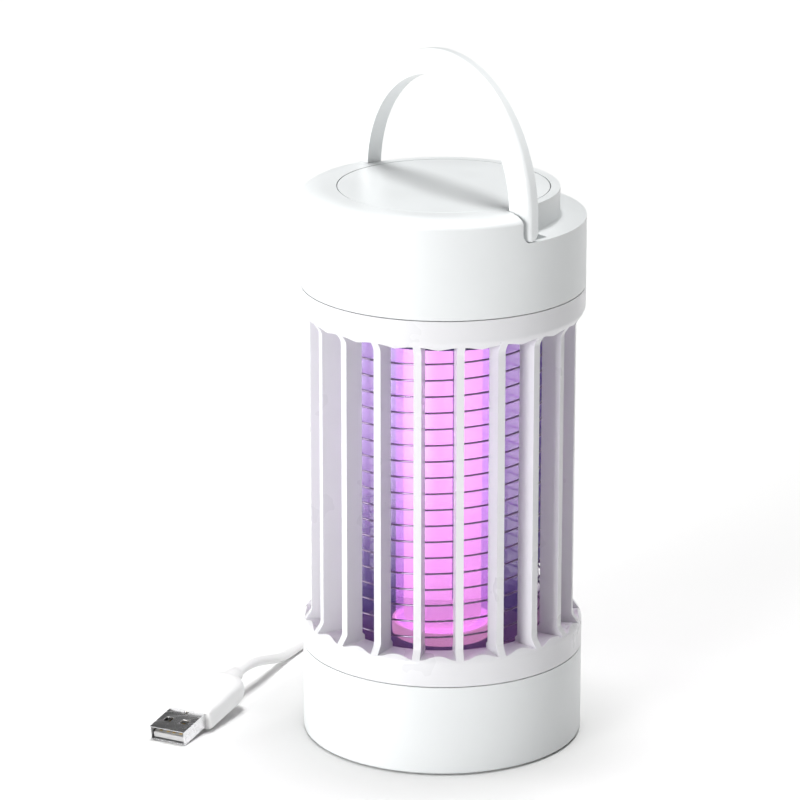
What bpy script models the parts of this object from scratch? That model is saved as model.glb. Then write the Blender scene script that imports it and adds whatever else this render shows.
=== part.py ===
"""Electric bug zapper: a round USB lamp with a high-voltage wire grid in a slatted guard.

Units are metres and +Z is up. The origin is on the surface that the lamp stands on, at the
centre of its base. The front of the lamp is -Y, and its lead leaves the head at +Y.
"""
import math

import bmesh
import bpy
from mathutils import Matrix, Vector

# Driving dimensions: the outer form
BODY_RADIUS = 0.0425
LOWER_SEAM_Z = 0.663 * BODY_RADIUS
UPPER_SEAM_Z = 3.322 * BODY_RADIUS
TOP_Z = 4.020 * BODY_RADIUS
WALL = 0.0022
GAP = 0.0003
RUNNING_GAP = 0.00015
JOIN = 0.0008
ROUND_STEPS = 48
HALF_STEP = math.pi / ROUND_STEPS
HIDDEN_STEPS = 36
SMALL_STEPS = 12

# Head and handle; the handle folds from upright towards the back-right, over the ledge
HANDLE_TURN = math.radians(-54.0)
PANEL_SEAM_RADIUS = 0.745 * BODY_RADIUS
PANEL_HOLE_RADIUS = 0.0280
PANEL_THICKNESS = 0.0014
PLATFORM_RADIUS = 0.813 * BODY_RADIUS
SHOULDER_WIDTH = 0.170 * BODY_RADIUS
SHOULDER_DROP = 0.065 * BODY_RADIUS
PIVOT_Z = TOP_Z - 0.132 * BODY_RADIUS
HANDLE_HALF_THICKNESS = 0.0025
LEDGE_Z = PIVOT_Z - HANDLE_HALF_THICKNESS - GAP
POCKET_DEPTH = 0.0020
POCKET_OUTER_RADIUS = 0.955 * BODY_RADIUS
POCKET_LENGTH = 0.0078
HEAD_CEILING_Z = LEDGE_Z - POCKET_DEPTH - WALL
HEAD_WALL_RADIUS = BODY_RADIUS - WALL
ARCH_CENTRE_Z = TOP_Z - 0.042 * BODY_RADIUS
ARCH_OUTER_RADIUS = BODY_RADIUS
ARCH_INNER_RADIUS = 0.828 * BODY_RADIUS
ARCH_SHOULDER_DROP = 0.070 * BODY_RADIUS
PIN_RADIUS = 0.00125
PIN_FLANGE_RADIUS = 0.0015
PIN_DEPTH_IN_LEG = 0.0048

# Guard cage
SLAT_COUNT = 20
CAGE_STEPS = 2 * SLAT_COUNT
SLAT_PHASE = math.radians(-90.0 + 6.7)
SLAT_THICKNESS = 0.0023
SLAT_OUTER_RADIUS = 0.943 * BODY_RADIUS
SLAT_INNER_RADIUS = 0.800 * BODY_RADIUS
DECK_INNER_RADIUS = 0.0330
CAGE_RING_RADIUS = BODY_RADIUS - 0.0024
LOWER_DECK_Z = 0.0346
LOWER_SCALLOP_Z = 0.855 * BODY_RADIUS
UPPER_SCALLOP_Z = 3.125 * BODY_RADIUS
SCALLOP_HEIGHT = 0.030 * BODY_RADIUS
LOWER_FLARE = (LOWER_SCALLOP_Z - 0.0012, LOWER_SCALLOP_Z + 0.0042)
UPPER_FLARE = (UPPER_SCALLOP_Z - 0.0030, UPPER_SCALLOP_Z + 0.0020)
UPPER_DECK_Z = 0.1348

# Insect tray and its bayonet
TRAY_COLLAR_TOP_Z = LOWER_DECK_Z - 0.0008
TRAY_COLLAR_RADIUS = CAGE_RING_RADIUS - GAP
TRAY_COLLAR_WALL = 0.0018
TRAY_FLOOR_Z = 0.0026
TRAY_TWIST = 20.0
LUG_COUNT = 3
LUG_HALF_ANGLE = 5.0
LUG_RADIUS = 0.0412
LUG_LOW_Z = 0.0300
LUG_HIGH_Z = 0.0318
FOOT_INNER_RADIUS = 0.0300
FOOT_OUTER_RADIUS = 0.0360
FOOT_THICKNESS = 0.0012

# Wire grid and lamp
GRID_RADIUS = 0.733 * BODY_RADIUS
WIRE_RADIUS = 0.0003
WIRE_LOW_Z = 0.826 * BODY_RADIUS
WIRE_HIGH_Z = 3.001 * BODY_RADIUS
WIRE_PITCH = 0.0100
WIRE_POINTS_PER_TURN = 20
WIRE_FLAT = 0.00038
HOLDER_RADIUS = GRID_RADIUS - WIRE_RADIUS - WIRE_FLAT - GAP
HOLDER_WALL = 0.0013
HOLDER_TOP_Z = 0.0510
HOLDER_LOW_Z = 0.0285
HOLDER_FLOOR = 0.0020
DROP_SLOT_COUNT = 4
DROP_SLOT_INNER_RADIUS = 0.0170
TOP_HOLDER_RADIUS = 0.0316
TOP_HOLDER_PLATE = 0.0016
RIB_COUNT = 4
RIB_WIDTH = 0.0016
RIB_DEPTH = 0.0013
TOP_HOLDER_LOW_Z = 0.1290
TOP_HOLDER_PLATE_Z = 0.1348
HEAD_FLOOR_LOW_Z = 0.1376
HEAD_FLOOR_THICKNESS = 0.0022
FLOOR_COLLAR_Z = 0.1450
SLEEVE_RADIUS = 0.0285
SLEEVE_WALL = 0.0013
TUBE_RADIUS = 0.0142
TUBE_SEAT = 0.0015

# Electronics, switch and lead
BOARD_RADIUS = 0.0305
BOARD_LOW_Z = 0.1471
BOARD_THICKNESS = 0.0016
POST_CIRCLE = 0.0220
BOSS_CIRCLE = 0.0340
BOSS_PHASE = math.radians(75.0)
POST_PHASE = math.radians(90.0)
CAGE_SCREW_CIRCLE = 0.0366
CAGE_SCREW_SEAT = 0.0016
FLOOR_SCREW_RADIUS = 0.0012
SMALL_SCREW_RADIUS = 0.0010
SWITCH_SIZE = 0.0080
CONTROL_Z = 0.1520
BUTTON_ANGLE = math.radians(125.0)
BUTTON_RADIUS = 0.0045
BUTTON_STAND_OUT = 0.0010
BUTTON_TRAVEL = 0.0015
BUTTON_STEM_END = 0.0303
CORD_RADIUS = 0.0015
RELIEF_END_Y = 0.0620
COIL_CENTRE = (-0.0170, 0.0710)
COIL_MIDDLE_RADIUS = 0.0180
COIL_LAYERS = 2
COIL_RINGS = 3
COIL_TIE_ANGLE = math.radians(-90.0)
TIE_THICKNESS = 0.0006
TIE_WIDTH = 0.0080

# Plug
PLUG_HEADING = math.radians(-117.6)
PLUG_PITCH = math.radians(7.7)
PLUG_FACE = (-0.0777, -0.0049, 0.00405)
SHELL_SIZE = (0.0130, 0.0120, 0.0045)
SHELL_WALL = 0.00035
SHELL_SEAT = 0.0030
MOULD_SIZE = (0.0240, 0.0158, 0.0080)
BOOT_LENGTH = 0.0060

# The lead's route: from the strain relief down behind the lamp, and from the coil to the plug
CORD_DROP = [(0.0, 0.0623, 0.1520), (0.0, 0.0670, 0.1518), (0.0002, 0.0720, 0.1502),
             (0.0005, 0.0765, 0.1464), (0.0010, 0.0795, 0.1408), (0.0017, 0.0808, 0.1335),
             (0.0026, 0.0812, 0.1240), (0.0045, 0.0811, 0.1000), (0.0066, 0.0808, 0.0700),
             (0.0085, 0.0804, 0.0400), (0.0092, 0.0805, 0.0240), (0.0085, 0.0812, 0.0150),
             (0.0066, 0.0824, 0.0080), (0.0035, 0.0842, 0.0038)]
CORD_RUN = [(-0.0417, 0.0702, 0.00155), (-0.0452, 0.0632, 0.00155), (-0.0487, 0.0555, 0.0018),
            (-0.0519, 0.0478, 0.0031), (-0.0549, 0.0405, 0.0053), (-0.0578, 0.0338, 0.0073),
            (-0.0608, 0.0275, 0.0083), (-0.06365, 0.0218, 0.0081)]

parts = bpy.data.collections.new("electric_bug_zapper")
cutters = bpy.data.collections.new("cutters")


# ---------------------------------------------------------------- helpers

def clear_scene():
    for old in list(bpy.data.objects):
        bpy.data.objects.remove(old, do_unlink=True)
    bpy.context.scene.collection.children.link(parts)
    bpy.context.scene.collection.children.link(cutters)


def finish(name, colour, roughness, metallic=0.0, alpha=1.0, glow=0.0):
    """A Principled material."""
    material = bpy.data.materials.new(name)
    material.use_nodes = True
    shader = material.node_tree.nodes["Principled BSDF"]
    shader.inputs["Base Color"].default_value = (*colour, 1.0)
    shader.inputs["Roughness"].default_value = roughness
    shader.inputs["Metallic"].default_value = metallic
    shader.inputs["Alpha"].default_value = alpha
    shader.inputs["Emission Color"].default_value = (*colour, 1.0)
    shader.inputs["Emission Strength"].default_value = glow
    return material


def add_object(name, data, material=None, matrix=Matrix()):
    """An object in the parts collection, or among the cutters when it has no material."""
    obj = bpy.data.objects.new(name, data)
    obj.matrix_world = matrix
    if material is None:
        cutters.objects.link(obj)
        obj.hide_render = True
        obj.display_type = "WIRE"
    else:
        parts.objects.link(obj)
        data.materials.append(material)
    return obj


def mesh_object(name, build, material=None, matrix=Matrix()):
    """An object from a function that fills a bmesh."""
    shape = bmesh.new()
    build(shape)
    shape.normal_update()
    bmesh.ops.recalc_face_normals(shape, faces=shape.faces)
    mesh = bpy.data.meshes.new(name)
    shape.to_mesh(mesh)
    shape.free()
    return add_object(name, mesh, material, matrix)


def settle(obj):
    """Replaces an object's mesh by what its modifiers make of it, shaded smooth where round."""
    bpy.context.view_layer.update()
    graph = bpy.context.evaluated_depsgraph_get()
    mesh = bpy.data.meshes.new_from_object(obj.evaluated_get(graph))
    obj.modifiers.clear()
    obj.data = mesh
    mesh.shade_smooth()
    mesh.set_sharp_from_angle(angle=math.radians(35.0))
    return obj


def turned(name, profile, material=None, matrix=Matrix(), steps=ROUND_STEPS):
    """A profile of (radius, height) turned about Z; it closes on itself off the axis."""
    points = [(radius, 0.0, height) for radius, height in profile]
    edges = [(i, i + 1) for i in range(len(points) - 1)]
    if profile[0][0] > 0.0:
        edges.append((len(points) - 1, 0))
    mesh = bpy.data.meshes.new(name)
    mesh.from_pydata(points, edges, [])
    obj = add_object(name, mesh, material, matrix)
    screw = obj.modifiers.new("turn", "SCREW")
    screw.angle = math.tau
    screw.steps = steps
    screw.render_steps = steps
    screw.use_merge_vertices = True
    screw.merge_threshold = 1e-6
    return settle(obj)


def combine(obj, other, operation="DIFFERENCE"):
    """A Boolean of an object with another, settled at once."""
    change = obj.modifiers.new(operation.lower(), "BOOLEAN")
    change.operation = operation
    change.solver = "EXACT"
    change.object = other
    return settle(obj)


def boxes(name, corner_pairs, material=None, matrix=Matrix()):
    """One object of separate boxes, each from its lowest and highest corners."""
    def build(shape):
        for low, high in corner_pairs:
            size = [b - a for a, b in zip(low, high)]
            middle = Vector([(a + b) / 2.0 for a, b in zip(low, high)])
            placed = Matrix.Translation(middle) @ Matrix.Diagonal((*size, 1.0))
            bmesh.ops.create_cube(shape, size=1.0, matrix=placed)
    return mesh_object(name, build, material, matrix)


def pointing(direction):
    """A turn that carries +Z to a direction."""
    return direction.to_track_quat("Z", "Y").to_matrix().to_4x4()


def rod(name, radius, start, end, material=None, steps=SMALL_STEPS, end_radius=None):
    """A closed cylinder, or cone, between two points."""
    start, end = Vector(start), Vector(end)
    along = end - start
    placed = Matrix.Translation((start + end) / 2.0) @ pointing(along)

    def build(shape):
        bmesh.ops.create_cone(shape, cap_ends=True, segments=steps, radius1=radius,
                              radius2=radius if end_radius is None else end_radius,
                              depth=along.length)
    obj = mesh_object(name, build, material, placed)
    return settle(obj)


def swept(name, section, moves, material=None, matrix=Matrix()):
    """A flat section carried through a list of moves, each a matrix, and closed at both ends."""
    def build(shape):
        first = shape.faces.new([shape.verts.new(point) for point in section])
        face = first
        for move in moves:
            new = bmesh.ops.extrude_face_region(shape, geom=[face])["geom"]
            points = [v for v in new if isinstance(v, bmesh.types.BMVert)]
            bmesh.ops.transform(shape, matrix=move, verts=points)
            if face is not first:
                shape.faces.remove(face)
            face = [f for f in new if isinstance(f, bmesh.types.BMFace)][0]
    return mesh_object(name, build, material, matrix)


def ring_sector(name, inner, outer, low, high, start, end, material=None, matrix=Matrix()):
    """A piece of a ring between two angles in degrees."""
    count = max(2, round(abs(end - start) / (360.0 / ROUND_STEPS)))
    step = Matrix.Rotation(math.radians(end - start) / count, 4, "Z")
    first = Matrix.Rotation(math.radians(start), 4, "Z")
    corners = [(inner, 0.0, low), (outer, 0.0, low), (outer, 0.0, high), (inner, 0.0, high)]
    return swept(name, [first @ Vector(c) for c in corners], [step] * count, material, matrix)


def outline_prism(name, outline, half_depth, matrix, material=None):
    """A flat outline given both ways of thickness, as a mesh."""
    curve = bpy.data.curves.new(name, "CURVE")
    curve.dimensions = "2D"
    curve.fill_mode = "BOTH"
    curve.extrude = half_depth
    spline = curve.splines.new("POLY")
    spline.points.add(len(outline) - 1)
    for point, (x, y) in zip(spline.points, outline):
        point.co = (x, y, 0.0, 1.0)
    spline.use_cyclic_u = True
    return curve_to_mesh(name, curve, matrix, material)


def curve_to_mesh(name, curve, matrix, material=None):
    """Turns a curve into a welded closed mesh object and removes the curve."""
    guide = bpy.data.objects.new(name + "_curve", curve)
    guide.matrix_world = matrix
    cutters.objects.link(guide)
    bpy.context.view_layer.update()
    graph = bpy.context.evaluated_depsgraph_get()
    mesh = bpy.data.meshes.new_from_object(guide.evaluated_get(graph))
    shape = bmesh.new()
    shape.from_mesh(mesh)
    bmesh.ops.remove_doubles(shape, verts=shape.verts, dist=1e-6)
    bmesh.ops.recalc_face_normals(shape, faces=shape.faces)
    shape.to_mesh(mesh)
    shape.free()
    bpy.data.objects.remove(guide, do_unlink=True)
    mesh.materials.clear()
    return add_object(name, mesh, material, matrix)


def wire(name, points, radius, material, resolution):
    """A round wire or cable along a list of points."""
    curve = bpy.data.curves.new(name, "CURVE")
    curve.dimensions = "3D"
    curve.bevel_depth = radius
    curve.bevel_resolution = resolution
    curve.use_fill_caps = True
    spline = curve.splines.new("POLY")
    spline.points.add(len(points) - 1)
    for point, place in zip(spline.points, points):
        point.co = (*place, 1.0)
    return add_object(name, curve, material)


def quarter_ellipse(centre, half_width, half_height, steps, start, end):
    """Points on an ellipse between two angles in degrees."""
    for i in range(steps + 1):
        angle = math.radians(start + (end - start) * i / steps)
        yield (centre[0] + half_width * math.cos(angle), centre[1] + half_height * math.sin(angle))


def smooth_route(points, spacing):
    """Evenly spaced points on a smooth curve through the given ones."""
    points = [Vector(p) for p in points]
    padded = [2 * points[0] - points[1]] + points + [2 * points[-1] - points[-2]]
    fine = []
    for a, b, c, d in zip(padded, padded[1:], padded[2:], padded[3:]):
        for i in range(24):
            t = i / 24.0
            fine.append(0.5 * (2 * b + (c - a) * t + (2 * a - 5 * b + 4 * c - d) * t ** 2
                               + (3 * b - a - 3 * c + d) * t ** 3))
    fine.append(points[-1])
    lengths = [0.0]
    for a, b in zip(fine, fine[1:]):
        lengths.append(lengths[-1] + (b - a).length)
    count = max(2, round(lengths[-1] / spacing))
    route = []
    index = 0
    for i in range(count + 1):
        wanted = lengths[-1] * i / count
        while index < len(fine) - 2 and lengths[index + 1] < wanted:
            index += 1
        part = (wanted - lengths[index]) / (lengths[index + 1] - lengths[index])
        route.append(fine[index].lerp(fine[index + 1], part))
    return route


def polar(radius, angle, height=0.0):
    return Vector((radius * math.cos(angle), radius * math.sin(angle), height))


def third(index):
    return math.tau * index / 3.0


def drill(obj, place, radius, low, high):
    """An upright hole from below a place to above it."""
    up = Vector((0.0, 0.0, 1.0))
    combine(obj, rod("hole", radius, place + low * up, place + high * up))


# ---------------------------------------------------------------- head

def ledge_cutter():
    """Space over the ledge and round the handle's legs, outside the platform's wall."""
    half = 2 * BODY_RADIUS
    notch = HANDLE_HALF_THICKNESS + GAP
    arc = quarter_ellipse((0.0, PIVOT_Z), notch, notch, 6, -90.0, -180.0)
    outline = [(half, LEDGE_Z), *arc, (-notch, TOP_Z + WALL), (half, TOP_Z + WALL)]
    across = Matrix(((0, 0, 1, 0), (1, 0, 0, 0), (0, 1, 0, 0), (0, 0, 0, 1)))
    turn = Matrix.Rotation(HANDLE_TURN, 4, "Z")
    space = outline_prism("ledge_space", outline, half, turn @ across)
    core = turned("platform_core", [(0.0, TOP_Z + 2 * WALL), (PLATFORM_RADIUS, TOP_Z + 2 * WALL),
                                    (PLATFORM_RADIUS, LEDGE_Z - WALL), (0.0, LEDGE_Z - WALL)],
                  matrix=Matrix.Rotation(HANDLE_TURN + HALF_STEP, 4, "Z"))
    return combine(space, core)


def pocket_cutter():
    """The two deeper pockets beside the handle's legs."""
    turn = Matrix.Rotation(HANDLE_TURN, 4, "Z")
    inner, outer = PLATFORM_RADIUS + GAP, POCKET_OUTER_RADIUS
    low, high = LEDGE_Z - POCKET_DEPTH, LEDGE_Z + WALL
    ring = turned("pocket_ring", [(inner, high), (outer, high), (outer, low), (inner, low)],
                  matrix=Matrix.Rotation(HANDLE_TURN + HALF_STEP, 4, "Z"))
    near = 0.8 * PLATFORM_RADIUS
    ends = []
    for start, stop in ((-BODY_RADIUS, -near), (near, BODY_RADIUS)):
        ends.append(((start, 0.0, low - WALL), (stop, POCKET_LENGTH, high + WALL)))
    return combine(ring, boxes("pocket_ends", ends, matrix=turn), "INTERSECT")


def head_shell(white):
    shoulder = quarter_ellipse((BODY_RADIUS - SHOULDER_WIDTH, TOP_Z - SHOULDER_DROP),
                               SHOULDER_WIDTH, SHOULDER_DROP, 6, 90.0, 0.0)
    panel_edge = PANEL_SEAM_RADIUS + GAP / 2
    seat_z = TOP_Z - PANEL_THICKNESS - GAP
    platform_inner = PLATFORM_RADIUS - WALL
    bottom = UPPER_SEAM_Z + GAP / 2
    profile = [(panel_edge, TOP_Z), *shoulder, (BODY_RADIUS, bottom), (HEAD_WALL_RADIUS, bottom),
               (HEAD_WALL_RADIUS, HEAD_CEILING_Z), (platform_inner, HEAD_CEILING_Z),
               (platform_inner, seat_z - WALL), (PANEL_HOLE_RADIUS, seat_z - WALL),
               (PANEL_HOLE_RADIUS, seat_z), (panel_edge, seat_z)]
    shell = turned("head_shell", profile, white, Matrix.Rotation(HANDLE_TURN + HALF_STEP, 4, "Z"))
    combine(shell, ledge_cutter())
    combine(shell, pocket_cutter())
    for sign in (1, -1):
        out = polar(1.0, HANDLE_TURN) * sign
        level = Vector((0.0, 0.0, PIVOT_Z))
        hole = rod("pin_hole", PIN_RADIUS + RUNNING_GAP, level + out * (platform_inner - WALL),
                   level + out * (PLATFORM_RADIUS + WALL))
        combine(shell, hole)
    for i in range(3):
        foot = polar(BOSS_CIRCLE, third(i) + BOSS_PHASE, HEAD_FLOOR_LOW_Z + HEAD_FLOOR_THICKNESS + GAP)
        combine(shell, rod("boss", 0.0026, foot, (foot.x, foot.y, HEAD_CEILING_Z + JOIN)), "UNION")
        drill(shell, foot, FLOOR_SCREW_RADIUS + RUNNING_GAP, -JOIN, 0.0122)
    relief_hole = rod("relief_hole", 0.0033, (0.0, HEAD_WALL_RADIUS - WALL, CONTROL_Z),
                      (0.0, BODY_RADIUS + WALL, CONTROL_Z))
    combine(shell, relief_hole)
    button_hole = rod("button_hole", BUTTON_RADIUS + GAP,
                      polar(HEAD_WALL_RADIUS - WALL, BUTTON_ANGLE, CONTROL_Z),
                      polar(BODY_RADIUS + WALL, BUTTON_ANGLE, CONTROL_Z), steps=24)
    return combine(shell, button_hole)


def top_panel(white):
    edge = PANEL_SEAM_RADIUS - GAP / 2
    low = TOP_Z - PANEL_THICKNESS
    collar = PANEL_HOLE_RADIUS - GAP
    profile = [(0.0, TOP_Z), (edge - GAP, TOP_Z), (edge, TOP_Z - GAP), (edge, low), (collar, low),
               (collar, low - 0.0040), (collar - 0.0015, low - 0.0040), (collar - 0.0015, low - GAP),
               (0.0, low - GAP)]
    return turned("top_panel", profile, white, Matrix.Rotation(HANDLE_TURN + HALF_STEP, 4, "Z"))


def handle(white):
    """The arch: its front-left face has the head's shoulder, its ends are round on the pivot."""
    half = HANDLE_HALF_THICKNESS
    width = ARCH_OUTER_RADIUS - ARCH_INNER_RADIUS
    flat = 0.0006
    shoulder = quarter_ellipse((ARCH_INNER_RADIUS + flat, -half + ARCH_SHOULDER_DROP), width - flat,
                               ARCH_SHOULDER_DROP, 5, -90.0, 0.0)
    rise = ARCH_CENTRE_Z - PIVOT_Z
    bottom = -half - GAP
    section = [(ARCH_INNER_RADIUS, half, bottom), (ARCH_INNER_RADIUS, -half, bottom)]
    section += [(radius, y, bottom) for radius, y in shoulder]
    section += [(ARCH_OUTER_RADIUS, half, bottom)]
    steps = 36
    centre = Matrix.Translation((0.0, 0.0, rise))
    step = centre @ Matrix.Rotation(-math.pi / steps, 4, "Y") @ centre.inverted()
    up = Matrix.Translation((0.0, 0.0, rise - bottom))
    matrix = Matrix.Translation((0.0, 0.0, PIVOT_Z)) @ Matrix.Rotation(HANDLE_TURN, 4, "Z")
    arch = swept("handle", section, [up] + [step] * steps + [up.inverted()], white, matrix)
    tall = 2 * BODY_RADIUS
    round_end = quarter_ellipse((0.0, 0.0), half, half, 12, 180.0, 360.0)
    outline = [(-2 * half, tall), (-2 * half, 0.0), *round_end, (2 * half, 0.0), (2 * half, tall)]
    across = Matrix(((0, 0, 1, 0), (1, 0, 0, 0), (0, 1, 0, 0), (0, 0, 0, 1)))
    combine(arch, outline_prism("leg_ends", outline, 2 * BODY_RADIUS, matrix @ across), "INTERSECT")
    for sign in (1, -1):
        out = polar(1.0, HANDLE_TURN) * sign
        level = Vector((0.0, 0.0, PIVOT_Z))
        hole = rod("leg_hole", PIN_RADIUS + RUNNING_GAP, level + out * (ARCH_INNER_RADIUS - WALL),
                   level + out * (ARCH_INNER_RADIUS + PIN_DEPTH_IN_LEG + GAP))
        combine(arch, hole)
    return arch


def handle_pin(name, sign, steel):
    """A headed pin, put in from inside the head."""
    flange_high = PLATFORM_RADIUS - WALL - GAP
    flange_low = flange_high - 0.0008
    tip = ARCH_INNER_RADIUS + PIN_DEPTH_IN_LEG
    profile = [(0.0, tip), (PIN_RADIUS, tip), (PIN_RADIUS, flange_high), (PIN_FLANGE_RADIUS, flange_high),
               (PIN_FLANGE_RADIUS, flange_low), (0.0, flange_low)]
    matrix = Matrix.Translation((0.0, 0.0, PIVOT_Z)) @ pointing(polar(1.0, HANDLE_TURN) * sign)
    return turned(name, profile, steel, matrix, SMALL_STEPS)


def head_floor(grey):
    low = HEAD_FLOOR_LOW_Z
    high = low + HEAD_FLOOR_THICKNESS
    edge = CAGE_RING_RADIUS - GAP
    collar = edge - WALL
    profile = [(0.0, high), (collar, high), (collar, FLOOR_COLLAR_Z), (edge, FLOOR_COLLAR_Z), (edge, low),
               (0.0, low)]
    plate = turned("head_floor", profile, grey)
    combine(plate, rod("lead_hole", 0.0040, (0.0, 0.0, low - WALL), (0.0, 0.0, high + WALL)))
    for i in range(3):
        post = polar(POST_CIRCLE, third(i) + POST_PHASE, high - JOIN)
        top = Vector((post.x, post.y, BOARD_LOW_Z - GAP))
        combine(plate, rod("post", 0.0024, post, top), "UNION")
        drill(plate, top, SMALL_SCREW_RADIUS + RUNNING_GAP, -0.0060, JOIN)
        clear = polar(BOSS_CIRCLE, third(i) + BOSS_PHASE, low)
        drill(plate, clear, 0.0016, -JOIN, HEAD_FLOOR_THICKNESS + WALL)
        angle = cage_screw_angle(i)
        lug = polar(CAGE_SCREW_CIRCLE, angle, UPPER_DECK_Z + GAP)
        combine(plate, rod("lug", 0.0022, lug, polar(CAGE_SCREW_CIRCLE, angle, low + JOIN)), "UNION")
        drill(plate, lug, SMALL_SCREW_RADIUS + RUNNING_GAP, -JOIN, 0.0040)
    return plate


# ---------------------------------------------------------------- cage and tray

def slat_angle(index):
    return SLAT_PHASE + math.tau * index / SLAT_COUNT


def cage_screw_angle(index):
    """Half-way between two slats, at three places round the ring."""
    return slat_angle(index * SLAT_COUNT / 3.0 // 1 + 0.5)


def window_cutters():
    """The spaces between the slats: upright wedges with scalloped tops and bottoms."""
    cuts = 3
    inner, outer = DECK_INNER_RADIUS - WALL, BODY_RADIUS + WALL
    half = SLAT_THICKNESS / 2.0

    def place(index, across, depth, level):
        radius = inner + (outer - inner) * depth
        sides = []
        for angle, offset in ((slat_angle(index), half), (slat_angle(index + 1), -half)):
            sides.append(polar(radius, angle) + polar(offset, angle + math.pi / 2))
        point = sides[0].lerp(sides[1], across)
        rounded = math.sin(math.pi * across) ** 2
        cusped = 1.0 - abs(math.cos(math.pi * across))
        low = LOWER_SCALLOP_Z + SCALLOP_HEIGHT * rounded
        high = UPPER_SCALLOP_Z - SCALLOP_HEIGHT * cusped
        point.z = low + (high - low) * level
        return point

    def build(shape):
        bmesh.ops.create_cube(shape, size=1.0, matrix=Matrix.Translation((0.5, 0.5, 0.5)))
        along = [e for e in shape.edges if abs(e.verts[0].co.x - e.verts[1].co.x) > 0.5]
        bmesh.ops.subdivide_edges(shape, edges=along, cuts=cuts, use_grid_fill=True)
        wedge = bpy.data.meshes.new("wedge")
        shape.to_mesh(wedge)
        shape.clear()
        for index in range(SLAT_COUNT):
            done = len(shape.verts)
            shape.from_mesh(wedge)
            shape.verts.ensure_lookup_table()
            for vert in shape.verts[done:]:
                vert.co = place(index, *vert.co)
        bpy.data.meshes.remove(wedge)
    return mesh_object("windows", build)


def guard_cage(white):
    upper_ring = UPPER_SCALLOP_Z - SCALLOP_HEIGHT - 0.0002
    lower_ring = LOWER_SCALLOP_Z + SCALLOP_HEIGHT + 0.0001
    top, bottom = UPPER_SEAM_Z - GAP / 2, LOWER_SEAM_Z + GAP / 2
    profile = [(BODY_RADIUS, top), (BODY_RADIUS, UPPER_FLARE[1]), (SLAT_OUTER_RADIUS, UPPER_FLARE[0]),
               (SLAT_OUTER_RADIUS, LOWER_FLARE[1]), (BODY_RADIUS, LOWER_FLARE[0]), (BODY_RADIUS, bottom),
               (CAGE_RING_RADIUS, bottom), (CAGE_RING_RADIUS, LOWER_DECK_Z),
               (DECK_INNER_RADIUS, LOWER_DECK_Z),
               (DECK_INNER_RADIUS, lower_ring), (SLAT_INNER_RADIUS, lower_ring + 0.0010),
               (SLAT_INNER_RADIUS, upper_ring - 0.0010), (DECK_INNER_RADIUS, upper_ring),
               (DECK_INNER_RADIUS, UPPER_DECK_Z), (CAGE_RING_RADIUS, UPPER_DECK_Z),
               (CAGE_RING_RADIUS, top)]
    cage = turned("guard_cage", profile, white, Matrix.Rotation(SLAT_PHASE, 4, "Z"), CAGE_STEPS)
    combine(cage, window_cutters())
    outer = LUG_RADIUS + GAP
    inner = CAGE_RING_RADIUS - GAP
    for i in range(LUG_COUNT):
        lug = 360.0 * i / LUG_COUNT
        clear = LUG_HALF_ANGLE + 0.8
        unlocked = lug + TRAY_TWIST
        groove = ring_sector("bayonet_groove", inner, outer, LUG_LOW_Z - GAP, LUG_HIGH_Z + GAP,
                             lug - clear, unlocked + clear)
        combine(cage, groove)
        entry = ring_sector("bayonet_entry", inner, outer, bottom - WALL, LUG_HIGH_Z,
                            unlocked - clear + 0.4, unlocked + clear - 0.4)
        combine(cage, entry)
        foot = polar(CAGE_SCREW_CIRCLE, cage_screw_angle(i), UPPER_DECK_Z)
        drill(cage, foot, 0.0014, -0.0060, JOIN)
        drill(cage, foot, 0.0026, -0.0060, -CAGE_SCREW_SEAT)
    return cage


def insect_tray(white):
    outer = BODY_RADIUS
    inner = BODY_RADIUS - WALL
    collar_inner = TRAY_COLLAR_RADIUS - TRAY_COLLAR_WALL
    rim = LOWER_SEAM_Z - GAP / 2
    base = GAP
    edge = 0.0011
    rounding = quarter_ellipse((outer - edge, base + edge), edge, edge, 3, 0.0, -90.0)
    groove_outer, groove_inner = FOOT_OUTER_RADIUS + GAP, FOOT_INNER_RADIUS - GAP
    groove_top = FOOT_THICKNESS + GAP
    corner = 0.0030
    fillet = quarter_ellipse((inner - corner, TRAY_FLOOR_Z + corner), corner, corner, 3, -90.0, 0.0)
    outside = [(TRAY_COLLAR_RADIUS, TRAY_COLLAR_TOP_Z), (TRAY_COLLAR_RADIUS, rim), (outer, rim),
               *rounding,
               (groove_outer, base), (groove_outer, groove_top), (groove_inner, groove_top),
               (groove_inner, base), (0.0, base)]
    inside = [(0.0, TRAY_FLOOR_Z), *fillet, (inner, rim - WALL), (collar_inner, rim),
              (collar_inner, TRAY_COLLAR_TOP_Z)]
    tray = turned("insect_tray", inside + outside, white)
    for i in range(LUG_COUNT):
        lug = 360.0 * i / LUG_COUNT
        piece = ring_sector("tray_lug", TRAY_COLLAR_RADIUS - 0.0006, LUG_RADIUS, LUG_LOW_Z, LUG_HIGH_Z,
                            lug - LUG_HALF_ANGLE, lug + LUG_HALF_ANGLE)
        combine(tray, piece, "UNION")
    return tray


def foot_ring(rubber):
    edge = 0.0002
    inner, outer = FOOT_INNER_RADIUS, FOOT_OUTER_RADIUS
    profile = [(inner, FOOT_THICKNESS), (outer, FOOT_THICKNESS), (outer, edge), (outer - edge, 0.0),
               (inner + edge, 0.0), (inner, edge)]
    return turned("foot_ring", profile, rubber)


# ---------------------------------------------------------------- grid and lamp

def grid_wire(name, phase, steel):
    turns = (WIRE_HIGH_Z - WIRE_LOW_Z) / WIRE_PITCH
    count = round(turns * WIRE_POINTS_PER_TURN)
    points = []
    for i in range(count + 1):
        share = i / count
        points.append(polar(GRID_RADIUS, phase + math.tau * turns * share,
                            WIRE_LOW_Z + (WIRE_HIGH_Z - WIRE_LOW_Z) * share))
    return wire(name, points, WIRE_RADIUS, steel, 0)


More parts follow.
